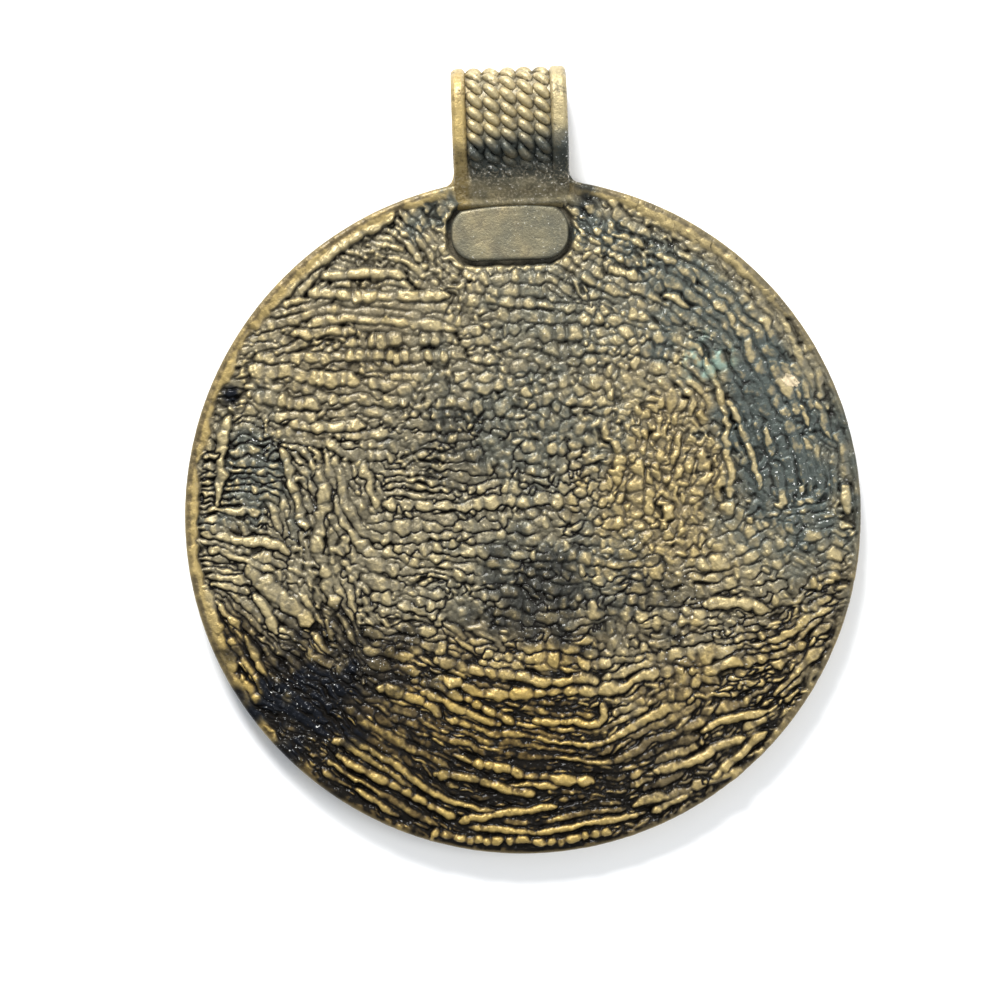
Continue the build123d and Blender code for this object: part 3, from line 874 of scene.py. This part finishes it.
class Outline:
    """The bail's side view: its outer side by travel from the apron's foot, as y, z and
    the outward way, how deep a place lies below it, and the opening inside it."""

    # The apron's run along Y, how far its foot lies inside the disc's edge, and the length
    # of strap that is buried in the disc at each end
    apron_run = 4.3
    foot_reach = 1.9
    buried = 2.2
    # Radii of the bends at the apron's foot and head
    foot_blend = 0.6
    head_blend = 1.6
    # From the disc's edge to the opening, and the rounding of the opening's corners
    foot_wall = 2.3
    opening_round = 0.5
    # Beyond this the opening surely ends
    farthest = 9.0
    # Places along the outer side
    count = 1600

    def __init__(self, s):
        self.s = s
        self.bend = s.bail_depth / 2
        self.bend_y = s.bail_top - self.bend
        self.foot_y = s.disc_radius - self.foot_reach
        self.head_y = self.foot_y + self.apron_run
        self.opening_foot = s.disc_radius + self.foot_wall
        self.opening_middle = (self.opening_foot + self.bend_y) / 2
        self.slope = math.atan2(s.bail_depth - s.rim_level, self.apron_run)
        corner = math.tan(self.slope / 2)
        foot, head = corner * self.foot_blend, corner * self.head_blend
        turn = self.slope
        parts = [
            (self.buried, 0.0, 0.0),
            (self.foot_blend * turn, 0.0, turn),
            (self.apron_run / math.cos(turn) - foot - head, turn, turn),
            (self.head_blend * turn, turn, 0.0),
            (self.bend_y - self.head_y - head, 0.0, 0.0),
            (self.bend * math.pi, 0.0, -math.pi),
            (self.bend_y - s.disc_radius + self.buried, -math.pi, -math.pi),
        ]
        ends = np.cumsum([0.0] + [run for run, _, _ in parts])
        self.start, self.length = self.buried, ends[-1]
        self.travel = np.linspace(0, self.length, self.count)
        heading = np.zeros_like(self.travel)
        for (run, first, last), begin in zip(parts, ends):
            share = np.clip((self.travel - begin) / run, 0, 1)
            heading = np.where(self.travel >= begin, first + (last - first) * share, heading)
        step = self.travel[1]
        middle = (heading[1:] + heading[:-1]) / 2
        self.y = np.concatenate([[0.0], np.cumsum(np.cos(middle)) * step])
        self.z = np.concatenate([[0.0], np.cumsum(np.sin(middle)) * step])
        self.y += s.bail_top - self.y.max()
        self.z += s.bail_depth - self.z.max()
        self.heading = heading

    def at(self, travel):
        """Place and outward way at a travel."""
        y, z, heading = (np.interp(travel, self.travel, v) for v in (self.y, self.z, self.heading))
        return y, z, -np.sin(heading), np.cos(heading)

    def depth(self, y, z):
        """How deep a place lies below the outer side."""
        s = self.s
        on_slope = (y - self.foot_y) * math.sin(self.slope) - (z - s.rim_level) * math.cos(self.slope)
        flat = np.minimum(np.minimum(s.bail_depth - z, z), on_slope)
        round_bend = self.bend - np.hypot(y - self.bend_y, z - self.bend)
        return np.where(y > self.bend_y, round_bend, flat)

    def opening_gap(self, y, up):
        """How far a place lies outside the opening, with its height from the middle."""
        radius = self.s.bail_depth / 2 - self.s.strap_wall - self.s.wire_rise
        round_end = np.hypot(y - self.bend_y, up) - radius
        qy = self.opening_foot + self.opening_round - y
        qz = np.abs(up) - radius + self.opening_round
        block = np.hypot(np.maximum(qy, 0), np.maximum(qz, 0)) + np.minimum(np.maximum(qy, qz), 0)
        return np.where(y > self.bend_y, round_end, block - self.opening_round)

    def opening_reach(self, turns, grow):
        """Reach of the opening, grown outwards, from its middle in each direction."""
        near, far = np.zeros_like(turns), np.full_like(turns, self.farthest)
        for _ in range(HALVINGS):
            reach = (near + far) / 2
            y, up = self.opening_middle + reach * np.cos(turns), reach * np.sin(turns)
            outside = self.opening_gap(y, up) >= grow
            near, far = np.where(outside, near, reach), np.where(outside, reach, far)
        return near


def bail_stations(s):
    """Places across the bail, each with how deep its outer side lies there and whether it
    is on a plain edge. The channel for the wires lies between the edges."""
    half, outer_round, inner_round, floor = s.bail_width / 2, 0.5, 0.42, 0.52
    turns = np.linspace(0, math.pi / 2, 7)
    sides = []
    for side, edge in ((-1, s.left_edge), (1, s.right_edge)):
        wall = half - edge + inner_round
        line = [
            (half - outer_round * (1 - math.cos(t)), outer_round * (1 - math.sin(t)), True) for t in turns
        ]
        line += [(x, 0.0, True) for x in np.linspace(half - outer_round, wall, 4)[1:-1]]
        line += [(wall - inner_round * math.sin(t), floor * (1 - math.cos(t)), False) for t in turns]
        sides.append([(side * x, depth, on_edge) for x, depth, on_edge in line])
    left, right = sides
    middle = [(x, floor, False) for x in np.linspace(left[-1][0], right[-1][0], 22)[1:-1]]
    return left + middle + right[::-1]


def bail_band(s, outline):
    """Points, quads and depths of the bail's strap, one closed piece."""
    fine = outline.start + 0.6
    travel = np.concatenate([np.linspace(0, fine, 22), np.linspace(fine, outline.length, 190)[1:]])
    y, z, out_y, out_z = outline.at(travel)
    on_back = travel < outline.length / 2
    back_channel = ease(y, outline.foot_y + 1.0, outline.foot_y + 3.7)
    front_channel = ease(y, s.disc_radius - 1.0, s.disc_radius - 0.6)
    channel = np.where(on_back, back_channel, front_channel)
    apron = ease(y, s.disc_radius + 1.0, s.disc_radius - 0.2) * on_back
    chance = smooth_noise(512, 9, 71)
    outside, depths = [], []
    for x, depth, on_edge in bail_stations(s):
        uneven = sample(chance, travel * 12 % 500, np.full_like(travel, 250 + x * 20))
        deep = depth * (1.0 if on_edge else channel) + (0.022 + 0.03 * apron) * uneven + 0.025
        py, pz = y - out_y * deep, z - out_z * deep
        # Both ends dive below the disc's faces
        back_dive = 0.9 * ease(py, outline.foot_y - 0.25, outline.foot_y - 1.1) * on_back
        ahead = np.hypot(x, py)
        front_dive = 0.3 * ease(ahead, s.disc_radius - 0.45, s.disc_radius - 0.9) * ~on_back
        outside.append(np.stack([np.full_like(py, x), py, pz - back_dive + front_dive], axis=-1))
        depths.append(deep)

    # Inner wall round the opening, with softly rounded edges at both sides
    around = len(travel)
    turns = np.arctan2(z - outline.bend, y - outline.opening_middle)
    left, right = [], []
    for inset, grow in ((0.0, 0.32), (0.03, 0.18), (0.12, 0.06), (0.32, 0.0)):
        reach = outline.opening_reach(turns, grow)
        iy, iz = outline.opening_middle + reach * np.cos(turns), outline.bend + reach * np.sin(turns)
        for side, rings in ((-1, left), (1, right)):
            x = side * (s.bail_width / 2 - inset)
            rings.append(np.stack([np.full(around, x), iy, iz], axis=-1))
    rings = left[::-1] + outside + right
    first = np.arange(around)
    last = (len(rings) - 1) * around + first
    across = np.stack([last, np.roll(last, -1), np.roll(first, -1), first], axis=-1)
    faces = np.concatenate([ring_faces(len(rings), around), across])
    inner_depth = [np.full(around, 0.35)] * len(right)
    return np.concatenate(rings), faces, np.concatenate(inner_depth + depths + inner_depth)


def foot_wedge(s, side):
    """A small fillet that leads from the disc's edge into the side of the bail."""
    reach, radius, buried, stretch = s.bail_width / 2, 1.15, 0.3, 1.15
    at_disc = math.sqrt((s.disc_radius - 0.05) ** 2 - (reach + radius) ** 2)
    plan = [(reach - buried, at_disc - 1.0), (reach + radius, at_disc - 0.5)]
    for turn in np.linspace(0, math.pi / 2, 9):
        x = reach + radius * (1 - math.sin(turn)) - 0.03 * (turn / 1.6)
        plan.append((x, at_disc + radius * stretch * (1 - math.cos(turn))))
    plan.append((reach - buried, plan[-1][1]))
    # Heights, each with how far the plan draws in there as a share
    levels = [(0.42, 0.12), (0.55, 0.03), (0.75, 0.0), (2.55, 0.0), (2.85, 0.05), (3.0, 0.2)]
    middle = np.mean(plan, axis=0)
    rings = []
    for z, inset in levels:
        ring = [(side * (x + (middle[0] - x) * inset), y + (middle[1] - y) * inset, z) for x, y in plan]
        rings.append(ring[::side])
    points = np.array(rings).reshape(-1, 3)
    around = len(plan)
    faces = [tuple(f) for f in ring_faces(len(levels), around)]
    faces += [tuple(range(around))[::-1], tuple(range(len(points) - around, len(points)))]
    return points, faces


def wire_paths(s, outline):
    """Middle lines of the wires, side by side round the bail, sinking in at both ends and
    kept clear of the opening."""
    depth_of_middle, clear, step = 0.87, 0.43, 0.12
    first, last = s.left_edge - s.bail_width / 2, s.bail_width / 2 - s.right_edge
    pitch = (last - first) / s.wires
    travel = np.arange(outline.start + 1.5, outline.length - 1.3, step)
    y, z, out_y, out_z = outline.at(travel)
    away = np.minimum(travel - travel[0], travel[-1] - travel)
    depth = depth_of_middle + 1.1 * (1 - ease(away, 0, 1.4)) * ease(away, 2.0, 0.5)
    for _ in range(4):
        gap = outline.opening_gap(y - out_y * depth, z - out_z * depth - outline.bend)
        depth -= np.maximum(clear - gap, 0)
    paths = []
    for wire in range(s.wires):
        x = np.full_like(travel, first + pitch * (wire + 0.5))
        paths.append(np.stack([x, y - out_y * depth, z - out_z * depth], axis=-1))
    return paths


def twist_tree(material):
    """Geometry nodes that turn each path into a twisted pair of strands."""
    tree = bpy.data.node_groups.new("twisted wire", "GeometryNodeTree")
    face = tree.interface
    face.new_socket("Geometry", in_out="INPUT", socket_type="NodeSocketGeometry")
    for name, value in (
        ("Lead", 2.3 * MM), ("Strand offset", 0.44 * MM), ("Flattening", 0.9),
        ("Strand radius", 0.40 * MM), ("Step", 0.13 * MM), ("Stagger", 0.28),
        ("Grain swell", 0.18),
    ):
        socket = face.new_socket(name, in_out="INPUT", socket_type="NodeSocketFloat")
        socket.default_value = value
    face.new_socket("Sides", in_out="INPUT", socket_type="NodeSocketInt").default_value = 14
    face.new_socket("Geometry", in_out="OUTPUT", socket_type="NodeSocketGeometry")
    add, link = tree.nodes.new, tree.links.new
    given = add("NodeGroupInput").outputs

    def sums(operation, first, second):
        node = add("ShaderNodeMath")
        node.operation = operation
        for socket, value in zip(node.inputs, (first, second)):
            if isinstance(value, bpy.types.NodeSocket):
                link(value, socket)
            else:
                socket.default_value = value
        return node.outputs[0]

    path = add("GeometryNodeResampleCurve")
    path.mode = "LENGTH"
    link(given["Geometry"], path.inputs["Curve"])
    link(given["Step"], path.inputs["Length"])
    place = add("ShaderNodeSeparateXYZ")
    link(add("GeometryNodeInputPosition").outputs[0], place.inputs[0])
    shift = sums("MULTIPLY", place.outputs["X"], given["Stagger"])
    along = sums("ADD", add("GeometryNodeSplineParameter").outputs["Length"], shift)
    outward = add("ShaderNodeVectorMath")
    outward.operation = "CROSS_PRODUCT"
    outward.inputs[0].default_value = (1, 0, 0)
    link(add("GeometryNodeInputTangent").outputs[0], outward.inputs[1])
    profile = add("GeometryNodeCurvePrimitiveCircle")
    link(given["Sides"], profile.inputs["Resolution"])
    link(given["Strand radius"], profile.inputs["Radius"])
    join = add("GeometryNodeJoinGeometry")
    for strand in range(2):
        turn = sums("MULTIPLY", sums("DIVIDE", along, given["Lead"]), 2 * math.pi)
        turn = sums("ADD", turn, math.pi * strand)
        sideways = sums("MULTIPLY", sums("COSINE", turn, 0.0), given["Strand offset"])
        raised = sums("MAXIMUM", sums("SINE", turn, 0.0), 0.0)
        lift = sums("MULTIPLY", raised, given["Strand offset"])
        lift = sums("MULTIPLY", lift, given["Flattening"])
        rise = add("ShaderNodeVectorMath")
        rise.operation = "SCALE"
        link(outward.outputs[0], rise.inputs[0])
        link(lift, rise.inputs["Scale"])
        aside = add("ShaderNodeCombineXYZ")
        link(sideways, aside.inputs["X"])
        total = add("ShaderNodeVectorMath")
        link(rise.outputs[0], total.inputs[0])
        link(aside.outputs[0], total.inputs[1])
        grain = sums("ADD", sums("MULTIPLY", sums("SINE", turn, 0.0), given["Grain swell"]), 1.0)
        swell = add("GeometryNodeSetCurveRadius")
        link(path.outputs[0], swell.inputs["Curve"])
        link(grain, swell.inputs["Radius"])
        move = add("GeometryNodeSetPosition")
        link(swell.outputs[0], move.inputs["Geometry"])
        link(total.outputs[0], move.inputs["Offset"])
        tube = add("GeometryNodeCurveToMesh")
        tube.inputs["Fill Caps"].default_value = True
        link(add("GeometryNodeInputRadius").outputs[0], tube.inputs["Scale"])
        link(move.outputs[0], tube.inputs["Curve"])
        link(profile.outputs[0], tube.inputs["Profile Curve"])
        link(tube.outputs[0], join.inputs[0])
    smooth = add("GeometryNodeSetShadeSmooth")
    link(join.outputs[0], smooth.inputs["Geometry"])
    real = add("GeometryNodeRealizeInstances")
    link(smooth.outputs[0], real.inputs[0])
    dress = add("GeometryNodeSetMaterial")
    dress.inputs["Material"].default_value = material
    link(real.outputs[0], dress.inputs[0])
    link(dress.outputs[0], add("NodeGroupOutput").inputs[0])
    return tree


def twisted_wires(s, outline, material):
    """The wires as one plain mesh, made by Geometry Nodes from their middle lines."""
    curves = bpy.data.curves.new("wire paths", "CURVE")
    curves.dimensions = "3D"
    paths = wire_paths(s, outline)
    for path in paths:
        spline = curves.splines.new("POLY")
        spline.points.add(len(path) - 1)
        spline.points.foreach_set("co", np.insert(path * MM, 3, 1.0, axis=1).ravel())
    holder = bpy.data.objects.new("wire paths", curves)
    bpy.context.collection.objects.link(holder)
    modifier = holder.modifiers.new("twist", "NODES")
    modifier.node_group = twist_tree(material)
    for item in modifier.node_group.interface.items_tree:
        if item.in_out == "INPUT" and item.name == "Lead":
            modifier[item.identifier] = s.twist_lead * MM
    evaluated = holder.evaluated_get(bpy.context.evaluated_depsgraph_get())
    mesh = bpy.data.meshes.new_from_object(evaluated)
    bpy.data.objects.remove(holder)
    made = bpy.data.objects.new("wires", mesh)
    bpy.context.collection.objects.link(made)
    return made


def bail_shades(s, places, depth):
    """Shades of the bail by place: soot and grey at its foot, gold on its left edge, dirt and
    painted shade deep between the strands, and a pale painted highlight towards the bend's top.
    """
    x, y, z = places.T
    edge_y = s.disc_radius
    on_back = z > 2.9
    foot = ease(y, edge_y + 4.6 + 0.8 * x / 5, edge_y + 2.2) * on_back
    left = ease(x, -3.4, -4.1)
    soot = foot * (1 - 0.75 * left)
    soot *= ease(y, edge_y - 1.4, edge_y + 0.6) * 0.8 + 0.2
    apron = ease(y, edge_y + 1.6, edge_y) * on_back
    muck = np.maximum(0.2 * soot, 0.04 * apron)
    return {
        # Darker the deeper a place lies below the outer side, between the strands: dirt and painted shade;
        # muck darkens the foot
        "hollow": np.clip(0.16 + 1.3 * np.maximum(depth - 0.26, 0) + muck, 0, 1),
        "tarnish": 0.35 * soot,
        "filling": np.maximum(0.7 * apron * (1 - 0.6 * left), 0.95 * soot),
        "gold": 0.6 * left,
        # Paler towards the top of the bend, a painted highlight where the bend faces the light, and pale on
        # the apron
        "pale": np.maximum(0.6 * ease(y, edge_y + 4.5, edge_y + 8.5), 0.6 * apron),
    }


# Materials


class Nodes:
    """Short ways to add and link the nodes of one material."""

    def __init__(self, name):
        self.material = bpy.data.materials.new(name)
        self.material.use_nodes = True
        self.tree = self.material.node_tree
        self.tree.nodes.clear()

    def add(self, kind, settings=None, **inputs):
        """A node with its settings, and its inputs given as values or as outputs."""
        node = self.tree.nodes.new(kind)
        for key, value in (settings or {}).items():
            setattr(node, key, value)
        for key, value in inputs.items():
            socket = node.inputs[int(key[1:])] if key[1:].isdigit() else node.inputs[key.replace("_", " ")]
            if isinstance(value, bpy.types.NodeSocket):
                self.tree.links.new(value, socket)
            else:
                socket.default_value = value
        return node

    def noise(self, size, detail=3.0, roughness=0.55, seed=0.0):
        """Noise in the piece's own coordinates, 0 to 1, with features this many mm across."""
        place = self.add("ShaderNodeTexCoord").outputs["Object"]
        moved = self.add("ShaderNodeMapping", i0=place, i1=(seed, seed * 0.7, seed * 1.3))
        node = self.add(
            "ShaderNodeTexNoise", Vector=moved.outputs[0], Scale=1 / (size * MM), Detail=detail,
            Roughness=roughness,
        )
        return node.outputs["Fac"]

    def value(self, kind):
        """A value painted on the piece by rule."""
        return self.add("ShaderNodeAttribute", {"attribute_name": kind}).outputs["Fac"]

    def math(self, operation, first, second=0.0, clamp=False):
        """One sum of two values."""
        settings = {"operation": operation, "use_clamp": clamp}
        return self.add("ShaderNodeMath", settings, i0=first, i1=second).outputs[0]

    def ramp(self, value, low, high):
        """A smooth step of a value from low to high."""
        node = self.add("ShaderNodeMapRange", {"interpolation_type": "SMOOTHSTEP"}, Value=value)
        node.inputs["From Min"].default_value = low
        node.inputs["From Max"].default_value = high
        return node.outputs["Result"]

    def mix(self, share, first, second):
        """A colour between two, by share."""
        node = self.add("ShaderNodeMix", {"data_type": "RGBA"}, i0=share)
        for socket, value in ((node.inputs[6], first), (node.inputs[7], second)):
            if isinstance(value, bpy.types.NodeSocket):
                self.tree.links.new(value, socket)
            else:
                socket.default_value = (*value, 1.0)
        return node.outputs[2]


def aged_brass(name, blotch=0.5, dents=0.12, flecks=0.64):
    """Aged brass: bright on the high spots, dark in the hollows with dirt and painted shade,
    with patches of black and grey tarnish that hold tiny painted glints. Blotch is how unevenly
    it is rubbed, and dents is the depth of its broad dents in millimetres."""
    c = bpy.context.scene.pendant_colours
    n = Nodes(name)
    grain = n.noise(0.13, 2.0, seed=0.011)
    speck = n.noise(0.26, 3.0, seed=0.023)
    mottle = n.noise(1.3, 4.0, seed=0.037)
    cloud = n.noise(6.0, 3.0, seed=0.051)
    hollow, crease, gold = n.value("hollow"), n.value("crease"), n.value("gold")
    uneven = n.math("SUBTRACT", n.math("ADD", mottle, n.math("MULTIPLY", speck, 0.6)), 0.8)

    # Rubbed high spots, duller towards the hollows, whose value holds painted shade as well as dirt
    worn = n.math("SUBTRACT", n.math("MULTIPLY", gold, 0.10), hollow)
    worn = n.ramp(n.math("ADD", worn, n.math("MULTIPLY", uneven, blotch)), -0.52, -0.12)
    base = n.mix(worn, n.mix(gold, c.dull, c.brown), n.mix(gold, c.bright, c.gold))

    # Veils of grey and black tarnish, thin on the high spots
    sink = n.math("MULTIPLY", hollow, 0.7)
    spread = n.math("ADD", n.math("ADD", cloud, n.math("MULTIPLY", uneven, 0.6)), sink)
    grey = n.math("MULTIPLY", n.value("steel"), n.ramp(spread, 0.54, 0.86))
    grey = n.math("MAXIMUM", grey, n.math("MULTIPLY", n.value("filling"), n.ramp(spread, 0.50, 0.80)))
    base = n.mix(grey, base, c.steel)
    soot = n.value("tarnish")
    black = n.math("ADD", spread, n.math("MULTIPLY", soot, 0.45))
    black = n.math("MULTIPLY", soot, n.ramp(black, 0.58, 0.94))
    base = n.mix(black, base, c.tarnish)
    green = n.math("MULTIPLY", n.value("verdigris"), n.ramp(mottle, 0.40, 0.60))
    base = n.mix(green, base, c.verdigris)

    # Dirt and painted shade in the hollows and in the creases between the ridges
    dirt_and_shade = n.ramp(n.math("ADD", hollow, n.math("MULTIPLY", uneven, 0.35)), 0.52, 0.92)
    dirt_and_shade = n.math("MAXIMUM", dirt_and_shade, n.ramp(crease, 0.20, 0.80))
    base = n.mix(dirt_and_shade, base, c.hollow)
    pale = n.value("pale")
    threads = n.ramp(n.math("ADD", n.math("MULTIPLY", pale, 0.7), speck), 0.98, 1.18)
    wash = n.math("MULTIPLY", n.math("MULTIPLY", pale, 0.35), n.ramp(speck, 0.45, 0.57))
    pale = n.math("MAXIMUM", threads, wash)
    base = n.mix(pale, base, c.pale)

    # Painted glints: tiny near white specks, mostly where the metal is tarnished
    where = n.math("ADD", n.math("MULTIPLY", n.math("MAXIMUM", grey, black), 0.8), 0.05)
    where = n.math("MULTIPLY", n.math("ADD", where, n.value("glint")), n.ramp(cloud, 0.44, 0.64))
    fleck = n.math("MULTIPLY", n.ramp(speck, flecks, flecks + 0.08), where, clamp=True)
    base = n.mix(fleck, base, c.fleck)

    rough = n.math("ADD", 0.50, n.math("MULTIPLY", uneven, 0.25))
    rough = n.math("ADD", rough, n.math("MULTIPLY", dirt_and_shade, 0.22))
    rough = n.math("SUBTRACT", rough, n.math("MULTIPLY", fleck, 0.15))
    matt = n.math("MAXIMUM", dirt_and_shade, n.math("MAXIMUM", green, pale))
    metal = n.math("SUBTRACT", 0.6, n.math("MULTIPLY", matt, 0.25), clamp=True)
    skin = n.math("ADD", n.math("MULTIPLY", grain, 0.5), n.math("MULTIPLY", speck, 1.0))
    bump = n.add("ShaderNodeBump", Strength=0.55, Distance=0.0001, Height=skin)
    swell = n.add(
        "ShaderNodeBump", Strength=0.5, Distance=dents * MM, Height=mottle, Normal=bump.outputs[0]
    )
    shader = n.add(
        "ShaderNodeBsdfPrincipled", Base_Color=base, Roughness=rough, Metallic=metal,
        Normal=swell.outputs[0], Specular_IOR_Level=0.05, Coat_Weight=0.14, Coat_Roughness=0.18,
    )
    n.add("ShaderNodeOutputMaterial", Surface=shader.outputs[0])
    return n.material


# Operators

# The picture's frame in pixels, where the disc lies in it and how wide, and its slight turn
FRAME_PIXELS = 1000
DISC_MIDDLE = (523.0, 515.9)
DISC_PIXELS = 677.2
DISC_TURN = math.radians(1.95)

# The camera's height, the height at which the disc's width is taken, and its sensor
CAMERA_HEIGHT = 280.0
SCALE_LEVEL = 3.1
SENSOR = 36.0


class PENDANT_OT_disc(bpy.types.Operator):
    """Cast disc with its ridged back, rim and plain front"""

    bl_idname = "pendant.disc"
    bl_label = "Cast disc"

    def execute(self, context):
        s = sizes()
        height, shaded = cast_back(s)
        places, rows, columns, edge = disc_grid(s, height)
        normals = grid_normals(places)
        shades = {kind: sample(values, rows, columns) for kind, values in shaded.items()}
        for kind, plain in (("hollow", 0.35), ("crease", 0.0), ("gold", 0.4)):
            shades[kind] += edge * (plain - shades[kind])
        material = aged_brass("cast brass back")
        before, after = slice(None, s.fineness + 1), slice(s.fineness, None)
        quarters = {
            "disc_upper_left": (after, before),
            "disc_upper_right": (after, after),
            "disc_lower_left": (before, before),
            "disc_lower_right": (before, after),
        }
        for name, part in quarters.items():
            hand_over(disc_quarter(places, normals, shades, *part, name), material)
        return {"FINISHED"}


class PENDANT_OT_pad(bpy.types.Operator):
    """Bare pad in its groove below the bail"""

    bl_idname = "pendant.pad"
    bl_label = "Bare pad"

    def execute(self, context):
        s = sizes()
        turns = np.linspace(0, 2 * math.pi, 144, endpoint=False)
        floor, level = s.rim_level - s.ridge_depth - 0.4, s.pad_level
        rings = [(0.0, floor), (0.02, level - 0.3), (0.07, level - 0.13), (0.15, level - 0.04)]
        rings += [(inset, level) for inset in (0.28, 0.5, 0.8, 1.15, 1.5, 1.9)]
        chance = smooth_noise(256, 7, 81)
        points = []
        for inset, z in rings:
            reach, middle_y = pad_border(s, turns, inset)
            x, y = reach * np.cos(turns) - s.pad_shift, reach * np.sin(turns) + middle_y
            uneven = 0.02 * sample(chance, 128 + y * 3, 128 + x * 9) * (inset > 0.1)
            points.append(np.stack([x, y, z + uneven], axis=-1))
        faces = [tuple(f) for f in ring_faces(len(rings), len(turns))]
        around = len(turns)
        faces.append(tuple(range(around))[::-1])
        faces.append(tuple(range((len(rings) - 1) * around, len(rings) * around)))
        pad = make_object("pad", np.concatenate(points), faces)
        depth = s.pad_level - points_of(pad.data)[:, 2]
        # Darker down the pad's rounded sides into its groove: dirt and painted shade
        paint(pad.data, hollow=np.clip(0.33 + 1.2 * depth, 0, 1), steel=0.6)
        hand_over(pad, aged_brass("satin brass pad", blotch=1.0, dents=0.15))
        return {"FINISHED"}


class PENDANT_OT_bail(bpy.types.Operator):
    """Folded bail with its apron, plain edges, channel and opening"""

    bl_idname = "pendant.bail"
    bl_label = "Bail"

    def execute(self, context):
        s = sizes()
        outline = Outline(s)
        points, faces, depth = bail_band(s, outline)
        faces = [tuple(f) for f in faces]
        depths = [depth]
        for side in (-1, 1):
            more, quads = foot_wedge(s, side)
            faces += [tuple(i + len(points) for i in quad) for quad in quads]
            points = np.concatenate([points, more])
            depths.append(np.full(len(more), 0.25))
        bail = make_object("bail", points, faces)
        bail.data.set_sharp_from_angle(angle=math.radians(55))
        places = points_of(bail.data)
        paint(bail.data, **bail_shades(s, places, np.concatenate(depths)))
        hand_over(bail, aged_brass("bail brass", blotch=1.3, dents=0.35, flecks=0.60))
        return {"FINISHED"}


class PENDANT_OT_wires(bpy.types.Operator):
    """Twisted wires laid side by side round the bail"""

    bl_idname = "pendant.wires"
    bl_label = "Twisted wires"

    def execute(self, context):
        s = sizes()
        outline = Outline(s)
        material = aged_brass("wire brass", blotch=1.0, dents=0.35, flecks=0.60)
        wires = twisted_wires(s, outline, material)
        places = points_of(wires.data)
        depth = outline.depth(places[:, 1], places[:, 2])
        paint(wires.data, **bail_shades(s, places, depth))
        hand_over(wires, material)
        return {"FINISHED"}


class PENDANT_OT_stage(bpy.types.Operator):
    """Pale floor, soft studio light and the camera above the pendant"""

    bl_idname = "pendant.stage"
    bl_label = "Studio"

    def execute(self, context):
        scene = context.scene
        scene.view_settings.view_transform = "Standard"
        floor = make_object(
            "floor", [(-900, -900, 0), (900, -900, 0), (900, 900, 0), (-900, 900, 0)], [(0, 1, 2, 3)]
        )
        n = Nodes("pale floor")
        tone = n.mix(n.noise(25.0), (0.94, 0.94, 0.94), (0.97, 0.97, 0.97))
        shader = n.add("ShaderNodeBsdfPrincipled", Base_Color=tone, Roughness=0.9)
        n.add("ShaderNodeOutputMaterial", Surface=shader.outputs[0])
        floor.data.materials.append(n.material)
        floor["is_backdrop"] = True

        world = bpy.data.worlds.new("studio")
        world.use_nodes = True
        sky = world.node_tree.nodes["Background"]
        sky.inputs["Color"].default_value = (0.92, 0.96, 1.0, 1.0)
        sky.inputs["Strength"].default_value = 0.60
        scene.world = world
        for name, place, size, power in (
            ("window", (-70, 270, 210), 120, 2.4),
            ("fill", (320, -60, 420), 260, 1.2),
        ):
            light = bpy.data.lights.new(name, "AREA")
            light.shape = "SQUARE"
            light.size = size * MM
            light.energy = power
            lamp = bpy.data.objects.new(name, light)
            lamp.location = Vector(place) * MM
            lamp.rotation_euler = (-Vector(place)).to_track_quat("-Z", "Y").to_euler()
            scene.collection.objects.link(lamp)

        pixel = 2 * DRAWN_RADIUS / DISC_PIXELS
        middle_x, middle_y = DISC_MIDDLE
        half_frame = FRAME_PIXELS / 2
        sight = Vector(((half_frame - middle_x) * pixel, (middle_y - half_frame) * pixel, CAMERA_HEIGHT))
        camera = bpy.data.cameras.new("camera")
        camera.sensor_width = SENSOR
        camera.lens = SENSOR * (CAMERA_HEIGHT - SCALE_LEVEL) / (FRAME_PIXELS * pixel)
        camera.clip_start = 0.01
        view = bpy.data.objects.new("camera", camera)
        turn = Matrix.Rotation(-DISC_TURN, 4, "Z")
        view.matrix_world = turn @ Matrix.Translation(sight * MM)
        scene.collection.objects.link(view)
        scene.camera = view
        return {"FINISHED"}


class PENDANT_PT_panel(bpy.types.Panel):
    """Steps of the pendant in the order they are made"""

    bl_idname = "PENDANT_PT_panel"
    bl_label = "Medallion pendant"
    bl_space_type = "VIEW_3D"
    bl_region_type = "UI"
    bl_category = "Pendant"

    def draw(self, context):
        for step in STEPS:
            self.layout.operator(step.bl_idname)
        for name in PendantSizes.__annotations__:
            self.layout.prop(context.scene.pendant_sizes, name)
        for name in PendantColours.__annotations__:
            self.layout.prop(context.scene.pendant_colours, name)


STEPS = [PENDANT_OT_stage, PENDANT_OT_disc, PENDANT_OT_pad, PENDANT_OT_bail, PENDANT_OT_wires]
CLASSES = [PendantSizes, PendantColours, *STEPS, PENDANT_PT_panel]


def register():
    for kind in CLASSES:
        bpy.utils.register_class(kind)
    bpy.types.Scene.pendant_sizes = PointerProperty(type=PendantSizes)
    bpy.types.Scene.pendant_colours = PointerProperty(type=PendantColours)


def unregister():
    del bpy.types.Scene.pendant_colours
    del bpy.types.Scene.pendant_sizes
    for kind in reversed(CLASSES):
        bpy.utils.unregister_class(kind)


def main():
    """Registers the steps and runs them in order."""
    register()
    bpy.ops.pendant.stage()
    bpy.ops.pendant.disc()
    bpy.ops.pendant.pad()
    bpy.ops.pendant.bail()
    bpy.ops.pendant.wires()
    boxes = {"cad": CAD_BOUNDS, "visual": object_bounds()}
    plain = {name: [list(corner) for corner in box] for name, box in boxes.items()}


if __name__ == "__main__":
    main()
